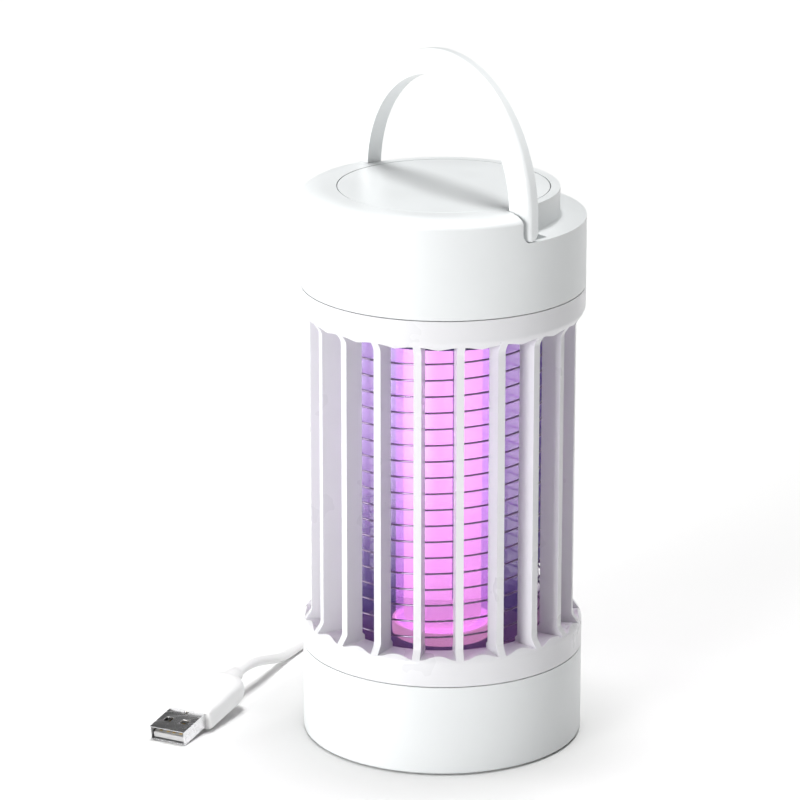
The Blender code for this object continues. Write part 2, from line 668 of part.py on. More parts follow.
def grid_holders(dark):
    inner = HOLDER_RADIUS - HOLDER_WALL
    floor_top = HOLDER_LOW_Z + HOLDER_FLOOR
    profile = [(0.0, floor_top), (inner, floor_top), (inner, HOLDER_TOP_Z), (HOLDER_RADIUS, HOLDER_TOP_Z),
               (HOLDER_RADIUS, HOLDER_LOW_Z), (0.0, HOLDER_LOW_Z)]
    bottom = turned("grid_bottom_holder", profile, dark, steps=HIDDEN_STEPS)
    for i in range(DROP_SLOT_COUNT):
        start = 360.0 * i / DROP_SLOT_COUNT + 12.0
        slot = ring_sector("drop_slot", DROP_SLOT_INNER_RADIUS, inner - 0.0050, HOLDER_LOW_Z - WALL,
                           floor_top + WALL, start, start + 66.0)
        combine(bottom, slot)
    top_inner = SLEEVE_RADIUS + GAP
    rim = TOP_HOLDER_RADIUS
    plate_top = HEAD_FLOOR_LOW_Z - GAP - 0.0020
    plate_low = TOP_HOLDER_PLATE_Z - TOP_HOLDER_PLATE
    profile = [(0.0, plate_top), (rim, plate_top), (rim, TOP_HOLDER_LOW_Z), (top_inner, TOP_HOLDER_LOW_Z),
               (top_inner, plate_low), (0.0, plate_low)]
    top = turned("grid_top_holder", profile, dark, steps=HIDDEN_STEPS)
    combine(top, rod("holder_hole", 0.0050, (0, 0, TOP_HOLDER_PLATE_Z - 0.01), (0, 0, plate_top + WALL)))


def grid_ribs(clear):
    outer = HOLDER_RADIUS
    for i in range(RIB_COUNT):
        turn = Matrix.Rotation(SLAT_PHASE + math.tau * i / RIB_COUNT, 4, "Z")
        low = (outer - RIB_DEPTH, -RIB_WIDTH / 2, HOLDER_TOP_Z + GAP)
        high = (outer, RIB_WIDTH / 2, TOP_HOLDER_LOW_Z - GAP)
        boxes("grid_rib_%d" % (i + 1), [(low, high)], clear, turn)


def lamp(violet, pink, grey):
    low = HOLDER_LOW_Z + HOLDER_FLOOR + GAP
    high = TOP_HOLDER_PLATE_Z - TOP_HOLDER_PLATE - GAP
    inner, outer = SLEEVE_RADIUS - SLEEVE_WALL, SLEEVE_RADIUS
    sleeve = [(inner, high), (outer, high), (outer, low), (inner, low)]
    turned("light_sleeve", sleeve, violet, steps=HIDDEN_STEPS)
    hole = TUBE_RADIUS + GAP
    rim = hole + 0.0008
    cap_top, socket_low = low + 0.0040, high - 0.0060
    cap_seat, socket_seat = cap_top - TUBE_SEAT, socket_low + TUBE_SEAT
    end_cap = [(0.0, cap_seat), (hole, cap_seat), (hole, cap_top), (rim, cap_top), (rim, low), (0.0, low)]
    turned("lamp_end_cap", end_cap, grey, steps=HIDDEN_STEPS)
    socket = [(0.0, high), (rim, high), (rim, socket_low), (hole, socket_low), (hole, socket_seat),
              (0.0, socket_seat)]
    turned("lamp_socket", socket, grey, steps=HIDDEN_STEPS)
    tube_low, tube_high = cap_seat + GAP, socket_seat - GAP
    dome = 0.0010
    tube = [(0.0, tube_high), (TUBE_RADIUS - dome, tube_high), (TUBE_RADIUS, tube_high - dome),
            (TUBE_RADIUS, tube_low + dome), (TUBE_RADIUS - dome, tube_low), (0.0, tube_low)]
    turned("uv_tube", tube, pink, steps=HIDDEN_STEPS)


# ---------------------------------------------------------------- electronics and screws

def electronics(green, black, copper_tape, grey):
    top = BOARD_LOW_Z + BOARD_THICKNESS
    board = rod("driver_board", BOARD_RADIUS, (0.0, 0.0, BOARD_LOW_Z), (0.0, 0.0, top), green, ROUND_STEPS)
    for i in range(3):
        drill(board, polar(POST_CIRCLE, third(i) + POST_PHASE, BOARD_LOW_Z), 0.0014, -JOIN, 0.0030)
    seat = top + GAP
    boxes("hv_transformer", [((0.0020, -0.0170, seat), (0.0160, -0.0040, seat + 0.0120))], copper_tape)
    for i, x in enumerate((-0.0110, -0.0028)):
        rod("hv_capacitor_%d" % (i + 1), 0.0036, (x, -0.0120, seat), (x, -0.0120, seat + 0.0110), black)
    turn = Matrix.Rotation(BUTTON_ANGLE, 4, "Z")
    switch_face = BUTTON_STEM_END - BUTTON_TRAVEL - GAP
    half = SWITCH_SIZE / 2
    switch = ((switch_face - SWITCH_SIZE, -half, seat), (switch_face, half, CONTROL_Z + half))
    boxes("switch_body", [switch], grey, turn)


def power_button(white):
    """Cap and stem along local +X, which points out of the head."""
    face = BODY_RADIUS + BUTTON_STAND_OUT
    inner_face = HEAD_WALL_RADIUS - 0.0010
    dome = 0.0006
    stem = 0.0016
    profile = [(0.0, face), (BUTTON_RADIUS - dome, face), (BUTTON_RADIUS, face - dome),
               (BUTTON_RADIUS, inner_face), (stem, inner_face), (stem, BUTTON_STEM_END),
               (0.0, BUTTON_STEM_END)]
    matrix = Matrix.Translation((0.0, 0.0, CONTROL_Z)) @ pointing(polar(1.0, BUTTON_ANGLE))
    return turned("power_button", profile, white, matrix, 2 * SMALL_STEPS)


def screw(name, place, head_radius, head_height, shank_radius, shank_length, upward, steel):
    """A pan-head screw whose shank starts at a place and runs up or down."""
    profile = [(0.0, shank_length), (shank_radius, shank_length), (shank_radius, 0.0), (head_radius, 0.0),
               (head_radius, -head_height), (0.0, -head_height)]
    flip = Matrix() if upward else Matrix.Rotation(math.pi, 4, "X")
    return turned(name, profile, steel, Matrix.Translation(place) @ flip, SMALL_STEPS)


def screws(steel):
    for i in range(3):
        place = polar(BOSS_CIRCLE, third(i) + BOSS_PHASE, HEAD_FLOOR_LOW_Z - GAP)
        screw("floor_screw_%d" % (i + 1), place, 0.0024, 0.0013, FLOOR_SCREW_RADIUS, 0.0120, True, steel)
        place = polar(CAGE_SCREW_CIRCLE, cage_screw_angle(i), UPPER_DECK_Z - CAGE_SCREW_SEAT - GAP)
        screw("cage_screw_%d" % (i + 1), place, 0.0022, 0.0012, SMALL_SCREW_RADIUS, 0.0050, True, steel)
        place = polar(POST_CIRCLE, third(i) + POST_PHASE, BOARD_LOW_Z + BOARD_THICKNESS + GAP)
        screw("board_screw_%d" % (i + 1), place, 0.0022, 0.0012, SMALL_SCREW_RADIUS, 0.0060, False, steel)


# ---------------------------------------------------------------- lead and plug

def strain_relief(white):
    """A tapered, grooved boot along +Y, held in the wall between two flanges."""
    wall_in, wall_out = HEAD_WALL_RADIUS - 0.0006, BODY_RADIUS + GAP
    boot_start = wall_out + 0.0012
    flange, neck, tip = 0.0043, 0.0030, 0.0022
    profile = [(0.0, RELIEF_END_Y), (tip, RELIEF_END_Y)]
    grooves = 4
    for i in range(grooves):
        near = RELIEF_END_Y - (RELIEF_END_Y - boot_start) * (i + 0.55) / (grooves + 0.3)
        far = near - 0.0012
        radius = tip + 0.0002 + 0.00028 * i
        cut = radius - 0.0006
        profile += [(radius, near), (cut, near), (cut, far), (radius + 0.0001, far)]
    back = wall_in - 0.0012
    profile += [(flange - 0.0006, boot_start), (flange, boot_start), (flange, wall_out), (neck, wall_out),
                (neck, wall_in), (flange, wall_in), (flange, back), (0.0, back)]
    matrix = Matrix.Translation((0.0, 0.0, CONTROL_Z)) @ pointing(Vector((0.0, 1.0, 0.0)))
    return turned("strain_relief", profile, white, matrix, SMALL_STEPS + 4)


def cord_pieces(white, black):
    wire("cord", smooth_route(CORD_DROP, 0.0075), CORD_RADIUS, white, 2)
    wire("cord_lead", smooth_route(CORD_RUN, 0.0070), CORD_RADIUS, white, 2)
    wide = COIL_RINGS * CORD_RADIUS
    inner, outer = COIL_MIDDLE_RADIUS - wide, COIL_MIDDLE_RADIUS + wide
    lift = TIE_THICKNESS + GAP
    high = COIL_LAYERS * 2 * CORD_RADIUS + lift
    centre = Matrix.Translation((*COIL_CENTRE, 0.0))
    edge = 0.0008
    section = [(inner + edge, high), (outer - edge, high), (outer, high - edge), (outer, edge),
               (outer - edge, 0.0), (inner + edge, 0.0), (inner, edge), (inner, high - edge)]
    coil = turned("cord_coil", section, white, centre, HIDDEN_STEPS)
    turn = centre @ Matrix.Rotation(COIL_TIE_ANGLE, 4, "Z")
    half = TIE_WIDTH / 2
    slot = ((inner - WALL, -half - GAP, -WALL), (outer + WALL, half + GAP, lift))
    combine(coil, boxes("tie_slot", [slot], matrix=turn))
    thick = TIE_THICKNESS
    near, far, over = math.sqrt(inner ** 2 - half ** 2) - 2 * GAP, outer + GAP, high + GAP
    tie = boxes("cord_tie", [((near - thick, -half, 0.0), (far + thick, half, over + thick))], black, turn)
    inside = boxes("tie_inside", [((near, -2 * half, thick), (far, 2 * half, over))], matrix=turn)
    combine(tie, inside)


def plug(white, steel):
    frame = (Matrix.Translation(PLUG_FACE) @ Matrix.Rotation(PLUG_HEADING, 4, "Z")
             @ Matrix.Rotation(PLUG_PITCH, 4, "Y"))
    length, width, height = SHELL_SIZE
    seat_back = -SHELL_SEAT + GAP
    outside = ((seat_back, -width / 2, -height / 2), (length, width / 2, height / 2))
    shell = boxes("usb_shell", [outside], steel, frame)
    inner_y, inner_z = width / 2 - SHELL_WALL, height / 2 - SHELL_WALL
    mouth = [((seat_back + 0.0006, -inner_y, -inner_z), (length + WALL, inner_y, inner_z))]
    combine(shell, boxes("shell_mouth", mouth, matrix=frame))
    holes = []
    for side in (-1, 1):
        middle_y = side * 0.00285
        holes.append(((length - 0.0072, middle_y - 0.00125, 0.0),
                      (length - 0.0047, middle_y + 0.00125, height)))
    holes.append(((0.0012, -0.0005, 0.0), (0.0024, 0.0011, height)))
    combine(shell, boxes("shell_holes", holes, matrix=frame))
    tongue_low = -inner_z + GAP
    boxes("usb_tongue", [((seat_back + 0.0009, -inner_y + GAP, tongue_low),
                          (length - 0.0008, inner_y - GAP, tongue_low + 0.0017))], white, frame)
    mould_length, mould_width, mould_height = MOULD_SIZE
    mould = boxes("usb_overmould", [((-mould_length, -mould_width / 2, -mould_height / 2),
                                     (0.0, mould_width / 2, mould_height / 2))], white, frame)
    edges = mould.modifiers.new("round", "BEVEL")
    edges.width = 0.0024
    edges.segments = 3
    edges.limit_method = "ANGLE"
    settle(mould)
    start = frame @ Vector((-mould_length + 0.0030, 0.0, 0.0))
    end = frame @ Vector((-mould_length - BOOT_LENGTH, 0.0, 0.0))
    combine(mould, rod("plug_boot", 0.0034, start, end, steps=24, end_radius=0.0023), "UNION")
    half_width, half_height = width / 2 + GAP, height / 2 + GAP
    seat = ((-SHELL_SEAT, -half_width, -half_height), (WALL, half_width, half_height))
    combine(mould, boxes("plug_seat", [seat], matrix=frame))


# ---------------------------------------------------------------- the whole lamp

def build():
    clear_scene()
    white = finish("white_abs", (0.86, 0.87, 0.87), 0.32)
    grey = finish("grey_nylon", (0.45, 0.46, 0.48), 0.5)
    dark = finish("dark_violet_plastic", (0.05, 0.03, 0.12), 0.35)
    clear = finish("clear_violet_plastic", (0.45, 0.30, 0.75), 0.2)
    violet = finish("violet_diffuser", (0.55, 0.35, 0.95), 0.25, alpha=0.6, glow=0.6)
    pink = finish("uv_glass", (0.95, 0.45, 0.85), 0.1, glow=3.0)
    steel = finish("steel", (0.62, 0.62, 0.64), 0.25, metallic=1.0)
    rubber = finish("rubber", (0.05, 0.05, 0.05), 0.8)
    green = finish("circuit_board", (0.02, 0.20, 0.08), 0.45)
    black = finish("black_plastic", (0.02, 0.02, 0.02), 0.4)
    tape = finish("transformer_tape", (0.75, 0.60, 0.12), 0.5)
    lead = finish("white_pvc", (0.85, 0.86, 0.86), 0.4)
    head_shell(white)
    top_panel(white)
    handle(white)
    handle_pin("handle_pin_front", 1, steel)
    handle_pin("handle_pin_back", -1, steel)
    head_floor(grey)
    guard_cage(white)
    insect_tray(white)
    foot_ring(rubber)
    grid_wire("live_wire", SLAT_PHASE, steel)
    grid_wire("return_wire", SLAT_PHASE + math.pi, steel)
    grid_holders(dark)
    grid_ribs(clear)
    lamp(violet, pink, grey)
    electronics(green, black, tape, grey)
    power_button(white)
    screws(steel)
    strain_relief(lead)
    cord_pieces(lead, black)
    plug(lead, steel)


build()
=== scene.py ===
"""Looks of the electric bug zapper: smooth moulded shells, the wire grid, the glowing lamp and the lead.

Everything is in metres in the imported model's frame. +Z is up, the camera stands at -Y, and the origin
is at the centre of the base.
"""
import math

import bmesh
import bpy
from mathutils import Matrix, Vector


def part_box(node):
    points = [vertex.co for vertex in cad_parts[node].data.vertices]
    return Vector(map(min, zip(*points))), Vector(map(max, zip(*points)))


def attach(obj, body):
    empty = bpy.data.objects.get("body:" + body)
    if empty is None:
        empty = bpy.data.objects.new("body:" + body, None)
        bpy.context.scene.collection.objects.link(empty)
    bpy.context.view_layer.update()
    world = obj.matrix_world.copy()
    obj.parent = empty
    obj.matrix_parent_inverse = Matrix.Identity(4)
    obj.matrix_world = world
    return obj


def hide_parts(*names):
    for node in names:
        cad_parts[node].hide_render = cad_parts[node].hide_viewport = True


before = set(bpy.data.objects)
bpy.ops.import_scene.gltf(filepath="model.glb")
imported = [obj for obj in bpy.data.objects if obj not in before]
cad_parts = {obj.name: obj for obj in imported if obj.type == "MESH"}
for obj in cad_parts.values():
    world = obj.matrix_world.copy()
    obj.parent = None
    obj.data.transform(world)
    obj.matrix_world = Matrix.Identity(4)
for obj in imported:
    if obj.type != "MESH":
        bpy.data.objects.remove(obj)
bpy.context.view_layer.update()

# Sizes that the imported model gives
tray_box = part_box("insect_tray")
cage_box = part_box("guard_cage")
panel_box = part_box("top_panel")
GAP = 0.0003
WALL = 0.0022
BODY_RADIUS = (tray_box[1].x - tray_box[0].x) / 2.0
LOWER_SEAM_Z = cage_box[0].z - GAP / 2
UPPER_SEAM_Z = cage_box[1].z + GAP / 2
TOP_Z = panel_box[1].z

# Smoothness and edge rounding
ROUND_STEPS = 192
SMALL_STEPS = 48
EDGE = 0.00022
SHARP_EDGE = math.radians(34.0)

# Head and handle
HANDLE_TURN = math.radians(-54.0)
PANEL_SEAM_RADIUS = 0.745 * BODY_RADIUS
PANEL_HOLE_RADIUS = 0.0280
PANEL_THICKNESS = 0.0014
SEAM_GAP = 0.00028
PLATFORM_RADIUS = 0.813 * BODY_RADIUS
SHOULDER_WIDTH = 0.170 * BODY_RADIUS
SHOULDER_DROP = 0.065 * BODY_RADIUS
PIVOT_Z = TOP_Z - 0.132 * BODY_RADIUS
HANDLE_HALF_THICKNESS = 0.0025
LEDGE_Z = PIVOT_Z - HANDLE_HALF_THICKNESS - GAP
POCKET_DEPTH = 0.0020
POCKET_OUTER_RADIUS = 0.955 * BODY_RADIUS
POCKET_LENGTH = 0.0078
HEAD_CEILING_Z = LEDGE_Z - POCKET_DEPTH - WALL
HEAD_WALL_RADIUS = BODY_RADIUS - WALL
ARCH_CENTRE_Z = TOP_Z - 0.042 * BODY_RADIUS
ARCH_INNER_RADIUS = 0.828 * BODY_RADIUS
ARCH_SHOULDER_DROP = 0.070 * BODY_RADIUS

# Guard cage and tray
SLAT_COUNT = 20
SLAT_PHASE = math.radians(-90.0 + 6.7)
SLAT_THICKNESS = 0.0023
SLAT_OUTER_RADIUS = 0.943 * BODY_RADIUS
SLAT_INNER_RADIUS = 0.800 * BODY_RADIUS
DECK_INNER_RADIUS = 0.0330
CAGE_RING_RADIUS = BODY_RADIUS - 0.0024
LOWER_DECK_Z = 0.0346
UPPER_DECK_Z = 0.1348
LOWER_SCALLOP_Z = 0.855 * BODY_RADIUS
UPPER_SCALLOP_Z = 3.125 * BODY_RADIUS
SCALLOP_HEIGHT = 0.030 * BODY_RADIUS
RIM_WAVE = 0.085 * BODY_RADIUS
LOWER_FLARE = (LOWER_SCALLOP_Z - 0.0012, LOWER_SCALLOP_Z + 0.0034)
UPPER_FLARE = (UPPER_SCALLOP_Z - 0.0030, UPPER_SCALLOP_Z + 0.0020)
TRAY_COLLAR_WALL = 0.0018
TRAY_FLOOR_Z = 0.0026
FOOT_INNER_RADIUS = 0.0300
FOOT_OUTER_RADIUS = 0.0360
FOOT_THICKNESS = 0.0012

# Wire grid and lamp
wire_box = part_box("live_wire")
sleeve_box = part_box("light_sleeve")
holder_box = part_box("grid_bottom_holder")
top_holder_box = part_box("grid_top_holder")
GRID_RADIUS = 0.733 * BODY_RADIUS
WIRE_RADIUS = 0.0003
WIRE_PITCH = 0.0100
WIRE_POINTS_PER_TURN = 72
HOLDER_WALL = 0.0013
SLEEVE_WALL = 0.0013

# Switch and lead
CONTROL_Z = 0.1520
BUTTON_ANGLE = math.radians(125.0)
BUTTON_RADIUS = 0.0045
BUTTON_STAND_OUT = 0.0010
CORD_RADIUS = 0.0015
RELIEF_END_Y = 0.0620
COIL_CENTRE = (-0.0170, 0.0710)
COIL_MIDDLE_RADIUS = 0.0180
CROSSING_HEIGHT = 0.0016
TIE_THICKNESS = 0.0006
TIE_WIDTH = 0.0080

# Plug
PLUG_HEADING = math.radians(-117.6)
PLUG_PITCH = math.radians(7.7)
PLUG_FACE = (-0.0777, -0.0049, 0.00405)
SHELL_LENGTH, SHELL_WIDTH, SHELL_HEIGHT = 0.0130, 0.0120, 0.0045
SHELL_WALL = 0.00035
SHELL_SEAT = 0.0030

# The lead's route: from the strain relief down behind the lamp, and from the coil to the plug
CORD_DROP = [(0.0, 0.0623, 0.1520), (0.0, 0.0670, 0.1518), (0.0002, 0.0720, 0.1502),
             (0.0005, 0.0765, 0.1464), (0.0010, 0.0795, 0.1408), (0.0017, 0.0808, 0.1335),
             (0.0026, 0.0812, 0.1240), (0.0045, 0.0811, 0.1000), (0.0066, 0.0808, 0.0700),
             (0.0085, 0.0804, 0.0400), (0.0092, 0.0805, 0.0240), (0.0085, 0.0812, 0.0150),
             (0.0066, 0.0824, 0.0080), (0.0035, 0.0842, 0.0038)]
CORD_RUN = [(-0.0417, 0.0702, 0.00155), (-0.0452, 0.0632, 0.00155), (-0.0487, 0.0555, 0.0018),
            (-0.0519, 0.0478, 0.0031), (-0.0549, 0.0405, 0.0053), (-0.0578, 0.0338, 0.0073),
            (-0.0608, 0.0275, 0.0083), (-0.06365, 0.0218, 0.0081)]


# ---------------------------------------------------------------- camera, light and floor

def camera():
    data = bpy.data.cameras.new("camera")
    data.lens = 188.9
    data.sensor_width = 36.0
    view = bpy.data.objects.new("camera", data)
    view.location = (-0.01292, -1.2046, 0.4808)
    view.rotation_euler = (math.radians(72.64), 0.0, 0.0)
    bpy.context.scene.collection.objects.link(view)
    bpy.context.scene.camera = view


def broad_light(name, direction, softness, strength):
    """A distant lamp that shines along a direction from a wide patch of sky, in degrees."""
    data = bpy.data.lights.new(name, "SUN")
    data.angle = math.radians(softness)
    data.energy = strength
    lamp = bpy.data.objects.new(name, data)
    lamp.rotation_euler = Vector(direction).to_track_quat("-Z", "Y").to_euler()
    bpy.context.scene.collection.objects.link(lamp)


def studio():
    """Low soft light from the left, one from overhead for the floor, and an even pale surround."""
    world = bpy.data.worlds.new("surround")
    world.use_nodes = True
    world.node_tree.nodes["Background"].inputs["Color"].default_value = (1.0, 1.0, 1.0, 1.0)
    world.node_tree.nodes["Background"].inputs["Strength"].default_value = 0.10
    bpy.context.scene.world = world
    bpy.context.scene.view_settings.view_transform = "Standard"
    broad_light("key_light", (0.62, 0.79, -0.15), 24.0, 2.45)
    broad_light("edge_light", (1.0, -0.08, -0.15), 26.0, 1.3)
    broad_light("top_light", (-0.04, -0.06, -1.0), 26.0, 3.3)


def floor():
    bpy.ops.mesh.primitive_plane_add(size=14.0)
    plane = bpy.context.object
    plane.name = "floor"
    paint = bpy.data.materials.new("pale_floor")
    paint.use_nodes = True
    shader = paint.node_tree.nodes["Principled BSDF"]
    shader.inputs["Base Color"].default_value = (0.80, 0.80, 0.797, 1.0)
    shader.inputs["Roughness"].default_value = 0.7
    shader.inputs["Specular IOR Level"].default_value = 0.2
    plane.data.materials.append(paint)


# ---------------------------------------------------------------- materials

class Finish:
    """A Principled material whose colour, roughness and bump come from noise at real scales."""

    def __init__(self, name, colour, roughness, metallic=0.0):
        self.material = bpy.data.materials.new(name)
        self.material.use_nodes = True
        self.tree = self.material.node_tree
        self.shader = self.tree.nodes["Principled BSDF"]
        self.place = self.tree.nodes.new("ShaderNodeTexCoord").outputs["Object"]
        self.shader.inputs["Metallic"].default_value = metallic
        self.mottle(colour, 35.0, 0.03)
        self.vary("Roughness", 60.0, roughness * 0.85, roughness * 1.2)

    def link(self, start, end):
        self.tree.links.new(start, end)

    def noise(self, size, detail=3.0, stretch=(1.0, 1.0, 1.0)):
        """Noise with this many features in a metre, stretched along an axis by a smaller factor."""
        mapping = self.tree.nodes.new("ShaderNodeMapping")
        mapping.inputs["Scale"].default_value = stretch
        self.link(self.place, mapping.inputs["Vector"])
        node = self.tree.nodes.new("ShaderNodeTexNoise")
        node.inputs["Scale"].default_value = size
        node.inputs["Detail"].default_value = detail
        self.link(mapping.outputs["Vector"], node.inputs["Vector"])
        return node.outputs["Fac"]

    def spread(self, source, low, high):
        """The middle of a noise's range stretched from low to high."""
        node = self.tree.nodes.new("ShaderNodeMapRange")
        node.inputs["From Min"].default_value = 0.3
        node.inputs["From Max"].default_value = 0.7
        node.inputs["To Min"].default_value = low
        node.inputs["To Max"].default_value = high
        self.link(source, node.inputs["Value"])
        return node.outputs["Result"]

    def vary(self, socket, size, low, high, stretch=(1.0, 1.0, 1.0)):
        self.link(self.spread(self.noise(size, stretch=stretch), low, high), self.shader.inputs[socket])
        return self

    def mottle(self, colour, size, amount):
        """Two close tones of one colour."""
        self.blend(self.noise(size), [c * (1.0 - amount) for c in colour],
                   [min(1.0, c * (1.0 + amount)) for c in colour])
        return self

    def blend(self, factor, low, high):
        mix = self.tree.nodes.new("ShaderNodeMix")
        mix.data_type = "RGBA"
        mix.inputs["A"].default_value = (*low, 1.0)
        mix.inputs["B"].default_value = (*high, 1.0)
        self.link(factor, mix.inputs["Factor"])
        self.link(mix.outputs["Result"], self.shader.inputs["Base Color"])
        return self

    def rise(self, low_z, high_z):
        """0 at one height and 1 at another."""
        split = self.tree.nodes.new("ShaderNodeSeparateXYZ")
        self.link(self.place, split.inputs["Vector"])
        node = self.tree.nodes.new("ShaderNodeMapRange")
        node.interpolation_type = "SMOOTHSTEP"
        node.inputs["From Min"].default_value = low_z
        node.inputs["From Max"].default_value = high_z
        self.link(split.outputs["Z"], node.inputs["Value"])
        return node.outputs["Result"]

    def grain(self, size, depth, stretch=(1.0, 1.0, 1.0)):
        """A fine surface texture of this many features in a metre and this depth in metres."""
        bump = self.tree.nodes.new("ShaderNodeBump")
        bump.inputs["Strength"].default_value = 1.0
        bump.inputs["Distance"].default_value = depth
        self.link(self.noise(size, stretch=stretch), bump.inputs["Height"])
        self.link(bump.outputs["Normal"], self.shader.inputs["Normal"])
        return self

    def put(self, socket, value):
        self.shader.inputs[socket].default_value = value
        return self

    def glow(self, colour, strength):
        self.put("Emission Color", (*colour, 1.0))
        return self.put("Emission Strength", strength)


def make_materials():
    made = {
        "white_abs": Finish("white_abs", (0.745, 0.765, 0.77), 0.34).grain(2600.0, 0.000006),
        # The cage's copy of the white ABS is darker and less blue than the body's: painted shade for the
        # slats' shaded sides.
        "shade_darkened_cage_abs": Finish("shade_darkened_cage_abs", (0.73, 0.73, 0.75), 0.30).grain(2600.0, 0.000005),
        "grey_nylon": Finish("grey_nylon", (0.42, 0.43, 0.45), 0.5).grain(3000.0, 0.00001),
        "smoky_violet": Finish("smoky_violet", (0.05, 0.03, 0.16), 0.22).grain(1500.0, 0.000004),
        "dark_violet": Finish("dark_violet", (0.05, 0.035, 0.13), 0.35).grain(2200.0, 0.000006),
        "clear_violet": Finish("clear_violet", (0.16, 0.10, 0.38), 0.2).grain(1500.0, 0.000004),
        "violet_diffuser": Finish("violet_diffuser", (0.30, 0.20, 0.62), 0.35).grain(1800.0, 0.000005),
        "phosphor": Finish("phosphor", (0.90, 0.55, 0.85), 0.25).grain(900.0, 0.00001),
        "tube_glass": Finish("tube_glass", (0.45, 0.25, 0.75), 0.15).grain(1200.0, 0.000004),
        "lit_cap": Finish("lit_cap", (0.70, 0.40, 0.75), 0.4).grain(1500.0, 0.00001),
        "steel_wire": Finish("steel_wire", (0.30, 0.24, 0.34), 0.30, 1.0),
        "plated_steel": Finish("plated_steel", (0.80, 0.80, 0.81), 0.22, 1.0),
        "contact_gold": Finish("contact_gold", (0.85, 0.62, 0.25), 0.25, 1.0).grain(6000.0, 0.000002),
        "circuit_board": Finish("circuit_board", (0.02, 0.16, 0.07), 0.4).grain(2500.0, 0.000012),
        "transformer_tape": Finish("transformer_tape", (0.70, 0.55, 0.10), 0.35).grain(1200.0, 0.00002),
        "black_plastic": Finish("black_plastic", (0.022, 0.022, 0.024), 0.42).grain(3500.0, 0.00001),
        "rubber": Finish("rubber", (0.045, 0.045, 0.047), 0.8).grain(2600.0, 0.00002),
        "white_pvc": Finish("white_pvc", (0.84, 0.84, 0.835), 0.40).grain(3200.0, 0.000008),
        "tongue_plastic": Finish("tongue_plastic", (0.50, 0.50, 0.50), 0.45).grain(3200.0, 0.00001),
    }
    made["steel_wire"].grain(9000.0, 0.000004, (1, 1, 6))
    made["plated_steel"].vary("Roughness", 900.0, 0.16, 0.32, (0.15, 1.0, 1.0)).grain(5000.0, 0.000002)
    for name in ("white_abs", "shade_darkened_cage_abs", "white_pvc"):
        made[name].put("Coat Weight", 0.12)
        made[name].put("Coat Roughness", 0.25)
    sleeve = made["violet_diffuser"]
    # Painted shade and light on the sleeve: its colour runs from near-black violet at the deck to pale
    # lilac at the top, and its faint glow is painted light from the tube.
    sleeve.blend(sleeve.rise(0.035, 0.105), (0.05, 0.03, 0.14), (0.58, 0.54, 0.76))
    sleeve.put("Alpha", 0.40).glow((0.42, 0.22, 1.0), 0.09)
    made["smoky_violet"].put("Alpha", 0.09)
    made["clear_violet"].put("Alpha", 0.7)
    made["phosphor"].glow((1.0, 0.40, 0.52), 1.7)
    made["tube_glass"].put("Alpha", 0.34).glow((0.72, 0.25, 0.90), 2.3)
    made["lit_cap"].glow((1.0, 0.40, 0.70), 1.5)
    return {name: finish.material for name, finish in made.items()}


materials = make_materials()


# ---------------------------------------------------------------- mesh helpers

def settle(obj):
    """Replaces an object's mesh by what its modifiers make of it, shaded smooth where round."""
    bpy.context.view_layer.update()
    graph = bpy.context.evaluated_depsgraph_get()
    mesh = bpy.data.meshes.new_from_object(obj.evaluated_get(graph))
    obj.modifiers.clear()
    obj.data = mesh
    mesh.shade_smooth()
    mesh.set_sharp_from_angle(angle=math.radians(40.0))
    return obj


def add_object(name, data, matrix=Matrix()):
    obj = bpy.data.objects.new(name, data)
    obj.matrix_world = matrix
    bpy.context.scene.collection.objects.link(obj)
    return obj


def mesh_object(name, build, matrix=Matrix()):
    """An object from a function that fills a bmesh."""
    shape = bmesh.new()
    build(shape)
    shape.normal_update()
    bmesh.ops.recalc_face_normals(shape, faces=shape.faces)
    mesh = bpy.data.meshes.new(name)
    shape.to_mesh(mesh)
    shape.free()
    return add_object(name, mesh, matrix)


def turned(name, profile, matrix=Matrix(), steps=ROUND_STEPS):
    """A profile of (radius, height) turned about Z; it closes on itself off the axis."""
    points = [(radius, 0.0, height) for radius, height in profile]
    edges = [(i, i + 1) for i in range(len(points) - 1)]
    if profile[0][0] > 0.0:
        edges.append((len(points) - 1, 0))
    mesh = bpy.data.meshes.new(name)
    mesh.from_pydata(points, edges, [])
    obj = add_object(name, mesh, matrix)
    screw = obj.modifiers.new("turn", "SCREW")
    screw.angle = math.tau
    screw.steps = steps
    screw.render_steps = steps
    screw.use_merge_vertices = True
    screw.merge_threshold = 1e-6
    return settle(obj)


def combine(obj, other, operation="DIFFERENCE"):
    """A Boolean of an object with another, which is used up."""
    change = obj.modifiers.new(operation.lower(), "BOOLEAN")
    change.operation = operation
    change.solver = "EXACT"
    change.object = other
    settle(obj)
    bpy.data.objects.remove(other, do_unlink=True)
    return obj


def soften(obj, width=EDGE, segments=3):
    """Rounds the sharp edges and keeps flat faces flat in the shading."""
    edges = obj.modifiers.new("edges", "BEVEL")
    edges.width = width
    edges.segments = segments
    edges.limit_method = "ANGLE"
    edges.angle_limit = SHARP_EDGE
    edges.use_clamp_overlap = True
    settle(obj)
    normals = obj.modifiers.new("normals", "WEIGHTED_NORMAL")
    normals.keep_sharp = True
    normals.weight = 60
    return obj


def boxes(name, corner_pairs, matrix=Matrix()):
    """One object of separate boxes, each from its lowest and highest corners."""
    def build(shape):
        for low, high in corner_pairs:
            size = [b - a for a, b in zip(low, high)]
            middle = Vector([(a + b) / 2.0 for a, b in zip(low, high)])
            placed = Matrix.Translation(middle) @ Matrix.Diagonal((*size, 1.0))
            bmesh.ops.create_cube(shape, size=1.0, matrix=placed)
    return mesh_object(name, build, matrix)


def rod(name, radius, start, end, steps=SMALL_STEPS):
    """A closed cylinder between two points."""
    start, end = Vector(start), Vector(end)
    along = end - start

    def build(shape):
        bmesh.ops.create_cone(shape, cap_ends=True, segments=steps, radius1=radius, radius2=radius,
                              depth=along.length)
    return mesh_object(name, build, Matrix.Translation((start + end) / 2.0) @ pointing(along))


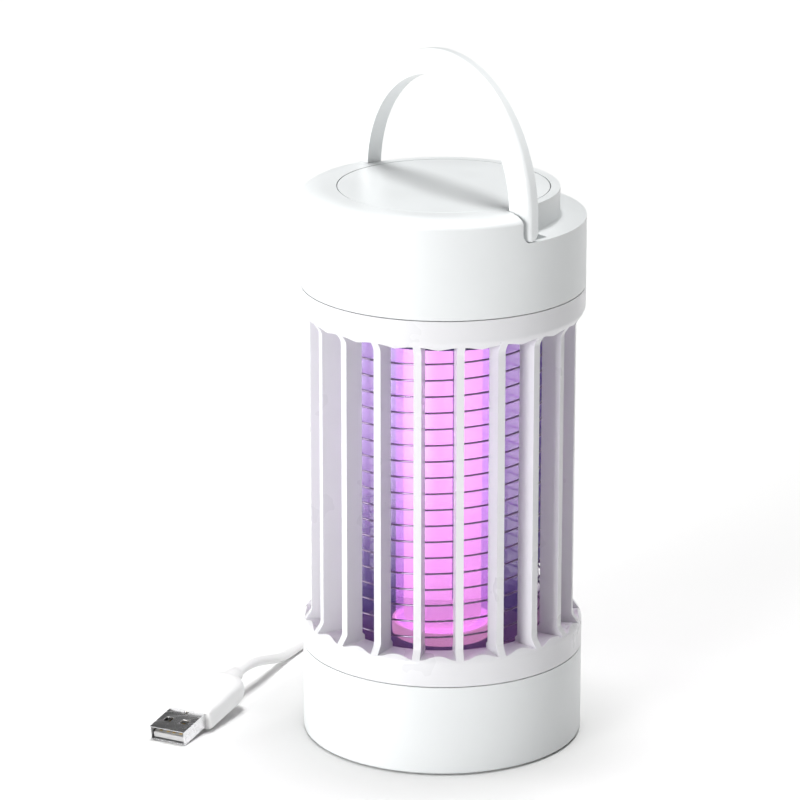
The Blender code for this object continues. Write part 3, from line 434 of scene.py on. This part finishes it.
def swept(name, section, moves, matrix=Matrix()):
    """A flat section carried through a list of moves, each a matrix, and closed at both ends."""
    def build(shape):
        first = shape.faces.new([shape.verts.new(point) for point in section])
        face = first
        for move in moves:
            new = bmesh.ops.extrude_face_region(shape, geom=[face])["geom"]
            points = [v for v in new if isinstance(v, bmesh.types.BMVert)]
            bmesh.ops.transform(shape, matrix=move, verts=points)
            if face is not first:
                shape.faces.remove(face)
            face = [f for f in new if isinstance(f, bmesh.types.BMFace)][0]
    return mesh_object(name, build, matrix)


def loft(name, sections, matrix=Matrix()):
    """A closed skin over rings of points that all have the same count."""
    def build(shape):
        rings = [[shape.verts.new(point) for point in ring] for ring in sections]
        count = len(rings[0])
        for near, far in zip(rings, rings[1:]):
            for i in range(count):
                j = (i + 1) % count
                shape.faces.new((near[i], near[j], far[j], far[i]))
        shape.faces.new(list(reversed(rings[0])))
        shape.faces.new(rings[-1])
    return mesh_object(name, build, matrix)


def outline_prism(name, outline, half_depth, matrix):
    """A flat outline given both ways of thickness."""
    sections = [[(x, y, z) for x, y in outline] for z in (-half_depth, half_depth)]
    return loft(name, sections, matrix)


def arc(centre, half_width, half_height, steps, start, end):
    """Points on an ellipse between two angles in degrees."""
    for i in range(steps + 1):
        angle = math.radians(start + (end - start) * i / steps)
        yield (centre[0] + half_width * math.cos(angle), centre[1] + half_height * math.sin(angle))


def polar(radius, angle, height=0.0):
    return Vector((radius * math.cos(angle), radius * math.sin(angle), height))


def pointing(direction):
    """A turn that carries +Z to a direction."""
    return direction.to_track_quat("Z", "Y").to_matrix().to_4x4()


def smooth_tube(name, points, radius, resolution=4):
    """A round wire or cable along a list of points."""
    curve = bpy.data.curves.new(name, "CURVE")
    curve.dimensions = "3D"
    curve.bevel_depth = radius
    curve.bevel_resolution = resolution
    curve.use_fill_caps = True
    spline = curve.splines.new("POLY")
    spline.points.add(len(points) - 1)
    for point, place in zip(spline.points, points):
        point.co = (*place, 1.0)
    spline.use_smooth = True
    return add_object(name, curve)


def show(obj, body, material, slot, *nodes):
    """Gives a piece its material, its body and the CAD nodes that it stands for."""
    if obj.type == "MESH":
        obj.data.transform(obj.matrix_world)
        obj.matrix_world = Matrix()
    obj.data.materials.clear()
    obj.data.materials.append(materials[material])
    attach(obj, body)
    if nodes:
        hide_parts(*nodes)
    return obj


# ---------------------------------------------------------------- head

ACROSS = Matrix(((0, 0, 1, 0), (1, 0, 0, 0), (0, 1, 0, 0), (0, 0, 0, 1)))
HEAD_FRAME = Matrix.Rotation(HANDLE_TURN, 4, "Z")
HALF_STEP_FRAME = Matrix.Rotation(HANDLE_TURN + math.pi / ROUND_STEPS, 4, "Z")


def ledge_cutter():
    """Space over the ledge and round the handle's legs, outside the platform's wall."""
    half = 2 * BODY_RADIUS
    notch = HANDLE_HALF_THICKNESS + GAP
    hook = arc((0.0, PIVOT_Z), notch, notch, 16, -90.0, -180.0)
    above = TOP_Z + WALL
    outline = [(half, LEDGE_Z), *hook, (-notch, above), (half, above)]
    space = outline_prism("ledge_space", outline, half, HEAD_FRAME @ ACROSS)
    foot = 0.0007
    rim = PLATFORM_RADIUS
    wall = [(0.0, TOP_Z + 2 * WALL), (rim, TOP_Z + 2 * WALL), (rim, LEDGE_Z + foot),
            *arc((rim + foot, LEDGE_Z + foot), foot, foot, 5, 180.0, 250.0),
            (rim + foot, LEDGE_Z - WALL), (0.0, LEDGE_Z - WALL)]
    return combine(space, turned("platform_core", wall, HALF_STEP_FRAME))


def pocket_cutter():
    """The two deeper pockets beside the handle's legs."""
    inner, outer = PLATFORM_RADIUS + GAP, POCKET_OUTER_RADIUS
    low, high = LEDGE_Z - POCKET_DEPTH, LEDGE_Z + WALL
    section = [(inner, high), (outer, high), (outer, low), (inner, low)]
    ring = turned("pocket_ring", section, HALF_STEP_FRAME)
    near = 0.8 * PLATFORM_RADIUS
    ends = []
    for start, stop in ((-BODY_RADIUS, -near), (near, BODY_RADIUS)):
        ends.append(((start, 0.0, low - WALL), (stop, POCKET_LENGTH, high + WALL)))
    return combine(ring, boxes("pocket_ends", ends, HEAD_FRAME), "INTERSECT")


def head_shell():
    """The drum: a full shoulder over the front-left half, and a ledge over the other."""
    shoulder = arc((BODY_RADIUS - SHOULDER_WIDTH, TOP_Z - SHOULDER_DROP), SHOULDER_WIDTH, SHOULDER_DROP,
                   16, 90.0, 0.0)
    panel_edge = PANEL_SEAM_RADIUS + SEAM_GAP / 2
    seat_z = TOP_Z - PANEL_THICKNESS - GAP
    platform_inner = PLATFORM_RADIUS - WALL
    bottom = UPPER_SEAM_Z + GAP / 2
    profile = [(panel_edge, TOP_Z), *shoulder, (BODY_RADIUS, bottom), (HEAD_WALL_RADIUS, bottom),
               (HEAD_WALL_RADIUS, HEAD_CEILING_Z), (platform_inner, HEAD_CEILING_Z),
               (platform_inner, seat_z - WALL), (PANEL_HOLE_RADIUS, seat_z - WALL),
               (PANEL_HOLE_RADIUS, seat_z), (panel_edge, seat_z)]
    shell = turned("drum_shell", profile, HALF_STEP_FRAME)
    combine(shell, ledge_cutter())
    combine(shell, pocket_cutter())
    relief_hole = rod("relief_hole", 0.0033, (0.0, HEAD_WALL_RADIUS - WALL, CONTROL_Z),
                      (0.0, BODY_RADIUS + WALL, CONTROL_Z))
    combine(shell, relief_hole)
    button_hole = rod("button_hole", BUTTON_RADIUS + GAP,
                      polar(HEAD_WALL_RADIUS - WALL, BUTTON_ANGLE, CONTROL_Z),
                      polar(BODY_RADIUS + WALL, BUTTON_ANGLE, CONTROL_Z))
    combine(shell, button_hole)
    soften(shell)
    show(shell, "lamp_body", "white_abs", "white_abs", "head_shell")


def top_panel():
    edge = PANEL_SEAM_RADIUS - SEAM_GAP / 2
    low = TOP_Z - PANEL_THICKNESS
    collar = PANEL_HOLE_RADIUS - GAP
    profile = [(0.0, TOP_Z), (edge, TOP_Z), (edge, low), (collar, low), (collar, low - 0.0040),
               (collar - 0.0015, low - 0.0040), (collar - 0.0015, low - GAP), (0.0, low - GAP)]
    panel = turned("top_disc", profile, HALF_STEP_FRAME)
    soften(panel, 0.00015)
    show(panel, "lamp_body", "white_abs", "white_abs", "top_panel")


def handle():
    """The arch: its front-left face has the head's shoulder, and its ends are round on the pivot."""
    half = HANDLE_HALF_THICKNESS
    flat = 0.0006
    width = BODY_RADIUS - ARCH_INNER_RADIUS - flat
    shoulder = arc((ARCH_INNER_RADIUS + flat, -half + ARCH_SHOULDER_DROP), width, ARCH_SHOULDER_DROP,
                   14, -90.0, 0.0)
    rise = ARCH_CENTRE_Z - PIVOT_Z
    bottom = -half - GAP
    section = [(ARCH_INNER_RADIUS, half, bottom), (ARCH_INNER_RADIUS, -half, bottom)]
    section += [(radius, y, bottom) for radius, y in shoulder]
    section += [(BODY_RADIUS, half, bottom)]
    steps = 96
    centre = Matrix.Translation((0.0, 0.0, rise))
    step = centre @ Matrix.Rotation(-math.pi / steps, 4, "Y") @ centre.inverted()
    up = Matrix.Translation((0.0, 0.0, rise - bottom))
    place = Matrix.Translation((0.0, 0.0, PIVOT_Z)) @ HEAD_FRAME
    arch = swept("carry_arch", section, [up] + [step] * steps + [up.inverted()], place)
    tall = 2 * BODY_RADIUS
    outline = [(-2 * half, tall), (-2 * half, 0.0), *arc((0.0, 0.0), half, half, 24, 180.0, 360.0),
               (2 * half, 0.0), (2 * half, tall)]
    combine(arch, outline_prism("leg_ends", outline, 2 * BODY_RADIUS, place @ ACROSS), "INTERSECT")
    soften(arch, 0.0003)
    show(arch, "carry_handle", "white_abs", "white_abs", "handle")


# ---------------------------------------------------------------- cage and tray

def slat_angle(index):
    return SLAT_PHASE + math.tau * index / SLAT_COUNT


def window_cutters():
    """The spaces between the slats: upright wedges whose ends are scalloped at the rings' rims."""
    cuts = 15
    rim_depth = 0.5
    inner, outer = DECK_INNER_RADIUS - WALL, BODY_RADIUS + WALL
    half = SLAT_THICKNESS / 2.0

    def place(index, across, depth, level):
        if depth > rim_depth:
            radius = SLAT_OUTER_RADIUS + (outer - SLAT_OUTER_RADIUS) * (depth / rim_depth - 1.0)
        else:
            radius = inner + (SLAT_OUTER_RADIUS - inner) * depth / rim_depth
        wave = RIM_WAVE * max(0.0, depth / rim_depth - 1.0)
        sides = []
        for angle, offset in ((slat_angle(index), half), (slat_angle(index + 1), -half)):
            sides.append(polar(radius, angle) + polar(offset, angle + math.pi / 2))
        point = sides[0].lerp(sides[1], across)
        rounded = math.sin(math.pi * across) ** 2
        cusped = 1.0 - abs(math.cos(math.pi * across))
        low = LOWER_SCALLOP_Z + wave * rounded
        high = UPPER_SCALLOP_Z - wave * cusped
        point.z = low + (high - low) * level
        return point

    def build(shape):
        bmesh.ops.create_cube(shape, size=1.0, matrix=Matrix.Translation((0.5, 0.5, 0.5)))
        for axis, pieces in ((0, cuts), (1, 1)):
            along = [e for e in shape.edges if abs(e.verts[0].co[axis] - e.verts[1].co[axis]) > 0.5]
            bmesh.ops.subdivide_edges(shape, edges=along, cuts=pieces, use_grid_fill=True)
        wedge = bpy.data.meshes.new("wedge")
        shape.to_mesh(wedge)
        shape.clear()
        for index in range(SLAT_COUNT):
            done = len(shape.verts)
            shape.from_mesh(wedge)
            shape.verts.ensure_lookup_table()
            for vert in shape.verts[done:]:
                vert.co = place(index, *vert.co)
        bpy.data.meshes.remove(wedge)
    return mesh_object("windows", build)


def eased(start_radius, start_z, end_radius, end_z, steps=10):
    """A smooth S between two radii."""
    for i in range(steps + 1):
        share = i / steps
        ease = share * share * (3.0 - 2.0 * share)
        yield (start_radius + (end_radius - start_radius) * ease, start_z + (end_z - start_z) * share)


def guard_cage():
    upper_ring = UPPER_SCALLOP_Z - SCALLOP_HEIGHT - 0.0002
    lower_ring = LOWER_SCALLOP_Z + SCALLOP_HEIGHT + 0.0001
    top, bottom = UPPER_SEAM_Z - GAP / 2, LOWER_SEAM_Z + GAP / 2
    high_flare = list(eased(BODY_RADIUS, UPPER_FLARE[1], SLAT_OUTER_RADIUS, UPPER_FLARE[0]))
    low_flare = list(eased(SLAT_OUTER_RADIUS, LOWER_FLARE[1], BODY_RADIUS, LOWER_FLARE[0]))
    profile = [(BODY_RADIUS, top), *high_flare, *low_flare, (BODY_RADIUS, bottom),
               (CAGE_RING_RADIUS, bottom), (CAGE_RING_RADIUS, LOWER_DECK_Z),
               (DECK_INNER_RADIUS, LOWER_DECK_Z),
               (DECK_INNER_RADIUS, lower_ring), (SLAT_INNER_RADIUS, lower_ring + 0.0010),
               (SLAT_INNER_RADIUS, upper_ring - 0.0010), (DECK_INNER_RADIUS, upper_ring),
               (DECK_INNER_RADIUS, UPPER_DECK_Z), (CAGE_RING_RADIUS, UPPER_DECK_Z),
               (CAGE_RING_RADIUS, top)]
    cage = turned("slatted_cage", profile, Matrix.Rotation(SLAT_PHASE, 4, "Z"), 12 * SLAT_COUNT)
    combine(cage, window_cutters())
    soften(cage, 0.00028)
    # The cage wears the darker copy of the white ABS, which is painted shade.
    show(cage, "lamp_body", "shade_darkened_cage_abs", "white_abs", "guard_cage")


def insect_tray():
    outer = BODY_RADIUS
    inner = BODY_RADIUS - WALL
    collar = CAGE_RING_RADIUS - GAP
    collar_inner = collar - TRAY_COLLAR_WALL
    collar_top = LOWER_DECK_Z - 0.0008
    rim = LOWER_SEAM_Z - GAP / 2
    base = GAP
    edge = 0.0011
    fillet = 0.0030
    groove_outer, groove_inner = FOOT_OUTER_RADIUS + GAP, FOOT_INNER_RADIUS - GAP
    groove_top = FOOT_THICKNESS + GAP
    inside = arc((inner - fillet, TRAY_FLOOR_Z + fillet), fillet, fillet, 8, -90.0, 0.0)
    outside = arc((outer - edge, base + edge), edge, edge, 8, 0.0, -90.0)
    profile = [(0.0, TRAY_FLOOR_Z), *inside, (inner, rim - WALL), (collar_inner, rim),
               (collar_inner, collar_top), (collar, collar_top), (collar, rim), (outer, rim), *outside,
               (groove_outer, base), (groove_outer, groove_top), (groove_inner, groove_top),
               (groove_inner, base), (0.0, base)]
    tray = turned("insect_cup", profile)
    soften(tray, 0.00018)
    show(tray, "tray", "white_abs", "white_abs", "insect_tray")


def foot_ring():
    """A flat rubber ring with two shallow grooves in its face."""
    edge = 0.0003
    depth = 0.0004
    inner, outer = FOOT_INNER_RADIUS, FOOT_OUTER_RADIUS
    grooves = []
    for offset in (0.0008, -0.0008):
        middle = (inner + outer) / 2.0 + offset
        grooves += [(middle + depth, 0.0), (middle + depth / 2, depth), (middle - depth / 2, depth),
                    (middle - depth, 0.0)]
    profile = [(inner, FOOT_THICKNESS), (outer, FOOT_THICKNESS), (outer, edge), (outer - edge, 0.0),
               *grooves, (inner + edge, 0.0), (inner, edge)]
    show(turned("grip_ring", profile), "tray", "rubber", "rubber", "foot_ring")


# ---------------------------------------------------------------- grid and lamp

def grid_wires():
    low, high = wire_box[0].z + WIRE_RADIUS, wire_box[1].z - WIRE_RADIUS
    turns = (high - low) / WIRE_PITCH
    count = round(turns * WIRE_POINTS_PER_TURN)
    for name, node, phase in (("live_winding", "live_wire", SLAT_PHASE),
                              ("return_winding", "return_wire", SLAT_PHASE + math.pi)):
        points = []
        for i in range(count + 1):
            share = i / count
            angle = phase + math.tau * turns * share
            points.append(polar(GRID_RADIUS, angle, low + (high - low) * share))
        show(smooth_tube(name, points, WIRE_RADIUS, 3), "lamp_body", "steel_wire", "steel_wire", node)


def grid_holders():
    low, high = holder_box[0].z, holder_box[1].z
    outer = holder_box[1].x
    inner = outer - HOLDER_WALL
    lip = HOLDER_WALL / 2
    floor_top = low + 0.0020
    brim = arc((outer - lip, high - lip), lip, lip, 10, 180.0, 0.0)
    profile = [(0.0, floor_top), (inner, floor_top), *brim, (outer, low), (0.0, low)]
    cup = turned("grid_cup", profile)
    soften(cup, 0.00015)
    show(cup, "lamp_body", "smoky_violet", "dark_violet_plastic", "grid_bottom_holder")
    low, high = top_holder_box[0].z, top_holder_box[1].z
    rim = top_holder_box[1].x
    inner = sleeve_box[1].x + GAP
    hole = 0.0050
    plate_low = high - 0.0024
    profile = [(hole, high), (rim, high), (rim, low), (inner, low), (inner, plate_low),
               (hole, plate_low)]
    cap = turned("grid_cap", profile)
    soften(cap, 0.00015)
    show(cap, "lamp_body", "dark_violet", "dark_violet_plastic", "grid_top_holder")


def lamp():
    low, high = sleeve_box[0].z, sleeve_box[1].z
    outer = sleeve_box[1].x
    inner = outer - SLEEVE_WALL
    sleeve = turned("glow_sleeve", [(inner, high), (outer, high), (outer, low), (inner, low)])
    soften(sleeve, 0.00015)
    show(sleeve, "lamp_body", "violet_diffuser", "violet_diffuser", "light_sleeve")
    tube_low, tube_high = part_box("uv_tube")
    radius = tube_high.x
    dome = 0.0022
    for name, material, inset in (("tube_glass", "tube_glass", 0.0), ("glow_tube", "phosphor", 0.0024)):
        edge = radius - inset
        high, low = tube_high.z - inset, tube_low.z + inset / 4
        profile = [(0.0, high), *arc((edge - dome, high - dome), dome, dome, 8, 90.0, 0.0),
                   *arc((edge - dome, low + dome), dome, dome, 8, 0.0, -90.0), (0.0, low)]
        show(turned(name, profile, steps=96), "lamp_body", material, "uv_glass", "uv_tube")


# ---------------------------------------------------------------- switch and lead

def power_button():
    """A dished cap with a groove round it, on a short stem."""
    face = BODY_RADIUS + BUTTON_STAND_OUT
    back = HEAD_WALL_RADIUS - 0.0010
    stem, stem_end = 0.0016, 0.0303
    round_off = 0.0006
    profile = [(0.0, face - 0.0004), (0.0018, face - 0.00025), (0.0030, face - 0.00005), (0.0033, face)]
    centre = (BUTTON_RADIUS - round_off, face - round_off)
    profile += list(arc(centre, round_off, round_off, 6, 90.0, 0.0))
    profile += [(BUTTON_RADIUS, back), (stem, back), (stem, stem_end), (0.0, stem_end)]
    profile = [(radius, height - BODY_RADIUS) for radius, height in profile]
    at_wall = Matrix.Translation(polar(BODY_RADIUS, BUTTON_ANGLE, CONTROL_Z))
    place = at_wall @ pointing(polar(1.0, BUTTON_ANGLE))
    cap = turned("push_cap", profile, place, SMALL_STEPS)
    show(cap, "button", "white_abs", "white_abs", "power_button")


def strain_relief():
    """A tapered, grooved boot along +Y, held in the wall between two flanges."""
    wall_in, wall_out = HEAD_WALL_RADIUS - 0.0006, BODY_RADIUS + GAP
    boot_start = wall_out + 0.0012
    flange, neck, tip = 0.0043, 0.0030, 0.0022
    profile = [(0.0, RELIEF_END_Y), (tip, RELIEF_END_Y)]
    grooves = 4
    for i in range(grooves):
        near = RELIEF_END_Y - (RELIEF_END_Y - boot_start) * (i + 0.55) / (grooves + 0.3)
        far = near - 0.0012
        radius = tip + 0.0002 + 0.00028 * i
        cut = radius - 0.0006
        profile += [(radius, near), (cut, near), (cut, far), (radius + 0.0001, far)]
    back = wall_in - 0.0012
    profile += [(flange - 0.0006, boot_start), (flange, boot_start), (flange, wall_out),
                (neck, wall_out), (neck, wall_in), (flange, wall_in), (flange, back), (0.0, back)]
    place = Matrix.Translation((0.0, 0.0, CONTROL_Z)) @ pointing(Vector((0.0, 1.0, 0.0)))
    boot = turned("lead_boot", profile, place, SMALL_STEPS)
    soften(boot, 0.00018)
    return show(boot, "lamp_body", "white_pvc", "white_pvc", "strain_relief")


def smooth_route(points, spacing):
    """Evenly spaced points on a smooth curve through the given ones."""
    points = [Vector(p) for p in points]
    padded = [2 * points[0] - points[1]] + points + [2 * points[-1] - points[-2]]
    fine = []
    for a, b, c, d in zip(padded, padded[1:], padded[2:], padded[3:]):
        for i in range(24):
            t = i / 24.0
            fine.append(0.5 * (2 * b + (c - a) * t + (2 * a - 5 * b + 4 * c - d) * t ** 2
                               + (3 * b - a - 3 * c + d) * t ** 3))
    fine.append(points[-1])
    lengths = [0.0]
    for a, b in zip(fine, fine[1:]):
        lengths.append(lengths[-1] + (b - a).length)
    count = max(2, round(lengths[-1] / spacing))
    route = []
    index = 0
    for i in range(count + 1):
        wanted = lengths[-1] * i / count
        while index < len(fine) - 2 and lengths[index + 1] < wanted:
            index += 1
        part = (wanted - lengths[index]) / (lengths[index + 1] - lengths[index])
        route.append(fine[index].lerp(fine[index + 1], part))
    return route


def coil_points():
    """Six turns in two layers of three, wound inwards below and outwards above.

    Every turn keeps its ring except in one sector, where all of them step over by one ring. There
    the third turn rolls up over the second one, and the fourth rolls over the third.
    """
    pitch = 2 * CORD_RADIUS
    rings = [COIL_MIDDLE_RADIUS + pitch * k for k in (-1, 0, 1)]
    start, sector = math.radians(60.0), math.radians(50.0)
    tie, tie_reach = math.radians(270.0), math.radians(48.0)
    turn_steps = 60
    points = []
    for turn in range(6):
        for i in range(turn_steps):
            angle = start + math.tau * i / turn_steps
            into = max(0.0, (angle - start - (math.tau - sector)) / sector)
            s = into * into * (3.0 - 2.0 * into)
            climb = math.radians(90.0) * s
            third = (rings[1] - pitch * s - pitch * math.cos(climb), pitch * math.sin(climb))
            if turn < 2:
                radius, height = rings[2 - turn] - pitch * s, 0.0
            elif turn == 2:
                radius, height = third if s > 0.0 else (rings[0], 0.0)
            elif turn == 3:
                radius = third[0] + pitch * math.sin(climb) if s > 0.0 else rings[0]
                height = third[1] + pitch * math.cos(climb) if s > 0.0 else pitch
            else:
                hump = CROSSING_HEIGHT * math.sin(math.pi * s) if turn == 5 else 0.0
                radius, height = rings[turn - 3] + pitch * s, pitch + hump
            from_tie = min(1.0, abs(angle - tie) / tie_reach)
            lift = (TIE_THICKNESS + GAP) * math.cos(from_tie * math.pi / 2) ** 2
            points.append(Vector((*COIL_CENTRE, CORD_RADIUS + height + lift)) + polar(radius, angle))
    outer = rings[2] + pitch
    for i in range(17):
        angle = start + math.radians(6.0) * i
        drop = min(1.0, i / 12.0)
        height = pitch * (1.0 - drop * drop * (3.0 - 2.0 * drop))
        points.append(Vector((*COIL_CENTRE, CORD_RADIUS + height)) + polar(outer, angle))
    return points


def lead_route():
    """The whole lead: down from the boot, round the coil and along to the plug."""
    coil = coil_points()
    spacing = 0.0016
    drop = smooth_route([*CORD_DROP, (-0.0013, 0.0866, 0.0018), coil[0]], spacing)
    bridge = smooth_route([coil[-2], coil[-1], *CORD_RUN], spacing)
    first = (coil[-1] - coil[-2]).length
    past = [p for p in bridge if (p - bridge[0]).length > first]
    return drop[:-1] + coil + past


def tie_band():
    """A strap round the coil's section, open inside."""
    wide = 3 * CORD_RADIUS
    inner, outer = COIL_MIDDLE_RADIUS - wide, COIL_MIDDLE_RADIUS + wide
    high = 4 * CORD_RADIUS + TIE_THICKNESS + GAP
    half = TIE_WIDTH / 2
    near, far, over = math.sqrt(inner ** 2 - half ** 2) - 2 * GAP, outer + GAP, high + GAP
    turn = Matrix.Translation((*COIL_CENTRE, 0.0)) @ Matrix.Rotation(math.radians(-90.0), 4, "Z")
    corner = 0.0012
    sections = []
    for y in (-half, half):
        for grow in ((0.0, TIE_THICKNESS) if y < 0.0 else (TIE_THICKNESS, 0.0)):
            ring = []
            for x, z, start in ((far, over, 0.0), (near, over, 90.0), (near, TIE_THICKNESS, 180.0),
                                (far, TIE_THICKNESS, 270.0)):
                cx = x - corner if x > near else x + corner
                cz = z - corner if z > TIE_THICKNESS else z + corner
                bend = arc((cx, cz), corner + grow, corner + grow, 6, start, start + 90.0)
                ring += [(px, y, pz) for px, pz in bend]
            sections.append(ring)

    def build(shape):
        rings = [[shape.verts.new(point) for point in ring] for ring in sections]
        for near_ring, far_ring in zip(rings, rings[1:] + rings[:1]):
            count = len(near_ring)
            for i in range(count):
                j = (i + 1) % count
                shape.faces.new((near_ring[i], near_ring[j], far_ring[j], far_ring[i]))
    band = mesh_object("tie_band", build, turn)
    soften(band, 0.00012)
    return show(band, "lamp_body", "black_plastic", "black_plastic", "cord_tie")


def superellipse(x, width, height, power, count=48):
    """A rounded rectangle across the plug's axis."""
    ring = []
    for i in range(count):
        angle = math.tau * i / count
        c, s = math.cos(angle), math.sin(angle)
        y = width / 2 * math.copysign(abs(c) ** (2.0 / power), c)
        z = height / 2 * math.copysign(abs(s) ** (2.0 / power), s)
        ring.append((x, y, z))
    return ring


def plug():
    """The USB plug: a moulded grip with a short boot, and a folded steel shell with its tongue."""
    place = (Matrix.Translation(PLUG_FACE) @ Matrix.Rotation(PLUG_HEADING, 4, "Z")
             @ Matrix.Rotation(PLUG_PITCH, 4, "Y"))
    stations = [(0.0, 0.0143, 0.0065, 6.0), (-0.0002, 0.0149, 0.0071, 6.0),
                (-0.0006, 0.0154, 0.0076, 5.5), (-0.0012, 0.0157, 0.0079, 5.0),
                (-0.0020, 0.0158, 0.0080, 5.0), (-0.0165, 0.0158, 0.0080, 5.0),
                (-0.0190, 0.0156, 0.0079, 4.6), (-0.0210, 0.0149, 0.0077, 4.0),
                (-0.0224, 0.0138, 0.0074, 3.4), (-0.0233, 0.0122, 0.0070, 3.0),
                (-0.0238, 0.0104, 0.0066, 2.6), (-0.0240, 0.0078, 0.0062, 2.2),
                (-0.0241, 0.0066, 0.0060, 2.0), (-0.0250, 0.0062, 0.0058, 2.0),
                (-0.0270, 0.0055, 0.0053, 2.0), (-0.0298, 0.0046, 0.0046, 2.0),
                (-0.0300, 0.0042, 0.0042, 2.0)]
    grip = loft("plug_grip", [superellipse(*station) for station in stations], place)
    settle(grip)
    show(grip, "lamp_body", "white_pvc", "white_pvc", "usb_overmould")
    half_width, half_height = SHELL_WIDTH / 2, SHELL_HEIGHT / 2
    shell = boxes("plug_shell", [((-SHELL_SEAT + GAP, -half_width, -half_height),
                                  (SHELL_LENGTH, half_width, half_height))], place)
    mouth_y, mouth_z = half_width - SHELL_WALL, half_height - SHELL_WALL
    mouth = [((-SHELL_SEAT + GAP + 0.0006, -mouth_y, -mouth_z), (SHELL_LENGTH + WALL, mouth_y, mouth_z))]
    combine(shell, boxes("shell_mouth", mouth, place))
    holes = []
    for side in (-1, 1):
        middle_y = side * 0.00285
        half_hole = 0.00125
        for low, high in ((0.0, SHELL_HEIGHT), (-SHELL_HEIGHT, 0.0)):
            holes.append(((SHELL_LENGTH - 0.0072, middle_y - half_hole, low),
                          (SHELL_LENGTH - 0.0047, middle_y + half_hole, high)))
    holes.append(((0.0012, -0.0005, 0.0), (0.0024, 0.0011, SHELL_HEIGHT)))
    combine(shell, boxes("shell_holes", holes, place))
    soften(shell, 0.00013)
    show(shell, "lamp_body", "plated_steel", "plated_steel", "usb_shell")
    tongue_low = -mouth_z + GAP
    tongue_top = tongue_low + 0.0017
    tongue = boxes("plug_tongue", [((-SHELL_SEAT + 0.0012, -mouth_y + GAP, tongue_low),
                                    (SHELL_LENGTH - 0.0008, mouth_y - GAP, tongue_top))], place)
    soften(tongue, 0.00012)
    show(tongue, "lamp_body", "tongue_plastic", "white_pvc", "usb_tongue")
    strips = []
    front = SHELL_LENGTH - 0.0020
    half = 0.0005
    for y, length in ((-0.0035, 0.0075), (-0.0010, 0.0065), (0.0010, 0.0065), (0.0035, 0.0075)):
        strips.append(((front - length, y - half, tongue_top - 0.0001),
                       (front, y + half, tongue_top + 0.00012)))
    contacts = boxes("plug_contacts", strips, place)
    soften(contacts, 0.00005)
    show(contacts, "lamp_body", "contact_gold", "plated_steel")
    return [grip, shell, tongue, contacts]


def lead():
    boot = strain_relief()
    band = tie_band()
    plug_pieces = plug()
    points = lead_route()
    cable = smooth_tube("usb_lead", points, CORD_RADIUS, 5)
    show(cable, "lamp_body", "white_pvc", "white_pvc", "cord", "cord_coil", "cord_lead")


# ---------------------------------------------------------------- CAD pieces that keep their shape

def repaint():
    finishes = {"head_floor": "grey_nylon", "lamp_socket": "grey_nylon", "lamp_end_cap": "lit_cap",
                "driver_board": "circuit_board", "hv_transformer": "transformer_tape",
                "switch_body": "black_plastic"}
    for side in ("front", "back"):
        finishes["handle_pin_" + side] = "plated_steel"
    for i in (1, 2):
        finishes["hv_capacitor_%d" % i] = "black_plastic"
    for i in range(1, 5):
        finishes["grid_rib_%d" % i] = "clear_violet"
    for kind in ("floor_screw", "cage_screw", "board_screw"):
        for i in range(1, 4):
            finishes["%s_%d" % (kind, i)] = "plated_steel"
    for node, name in finishes.items():
        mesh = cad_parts[node].data
        mesh.materials.clear()
        mesh.materials.append(materials[name])


camera()
studio()
floor()
lead()
head_shell()
top_panel()
handle()
guard_cage()
insect_tray()
foot_ring()
grid_wires()
grid_holders()
lamp()
power_button()
repaint()
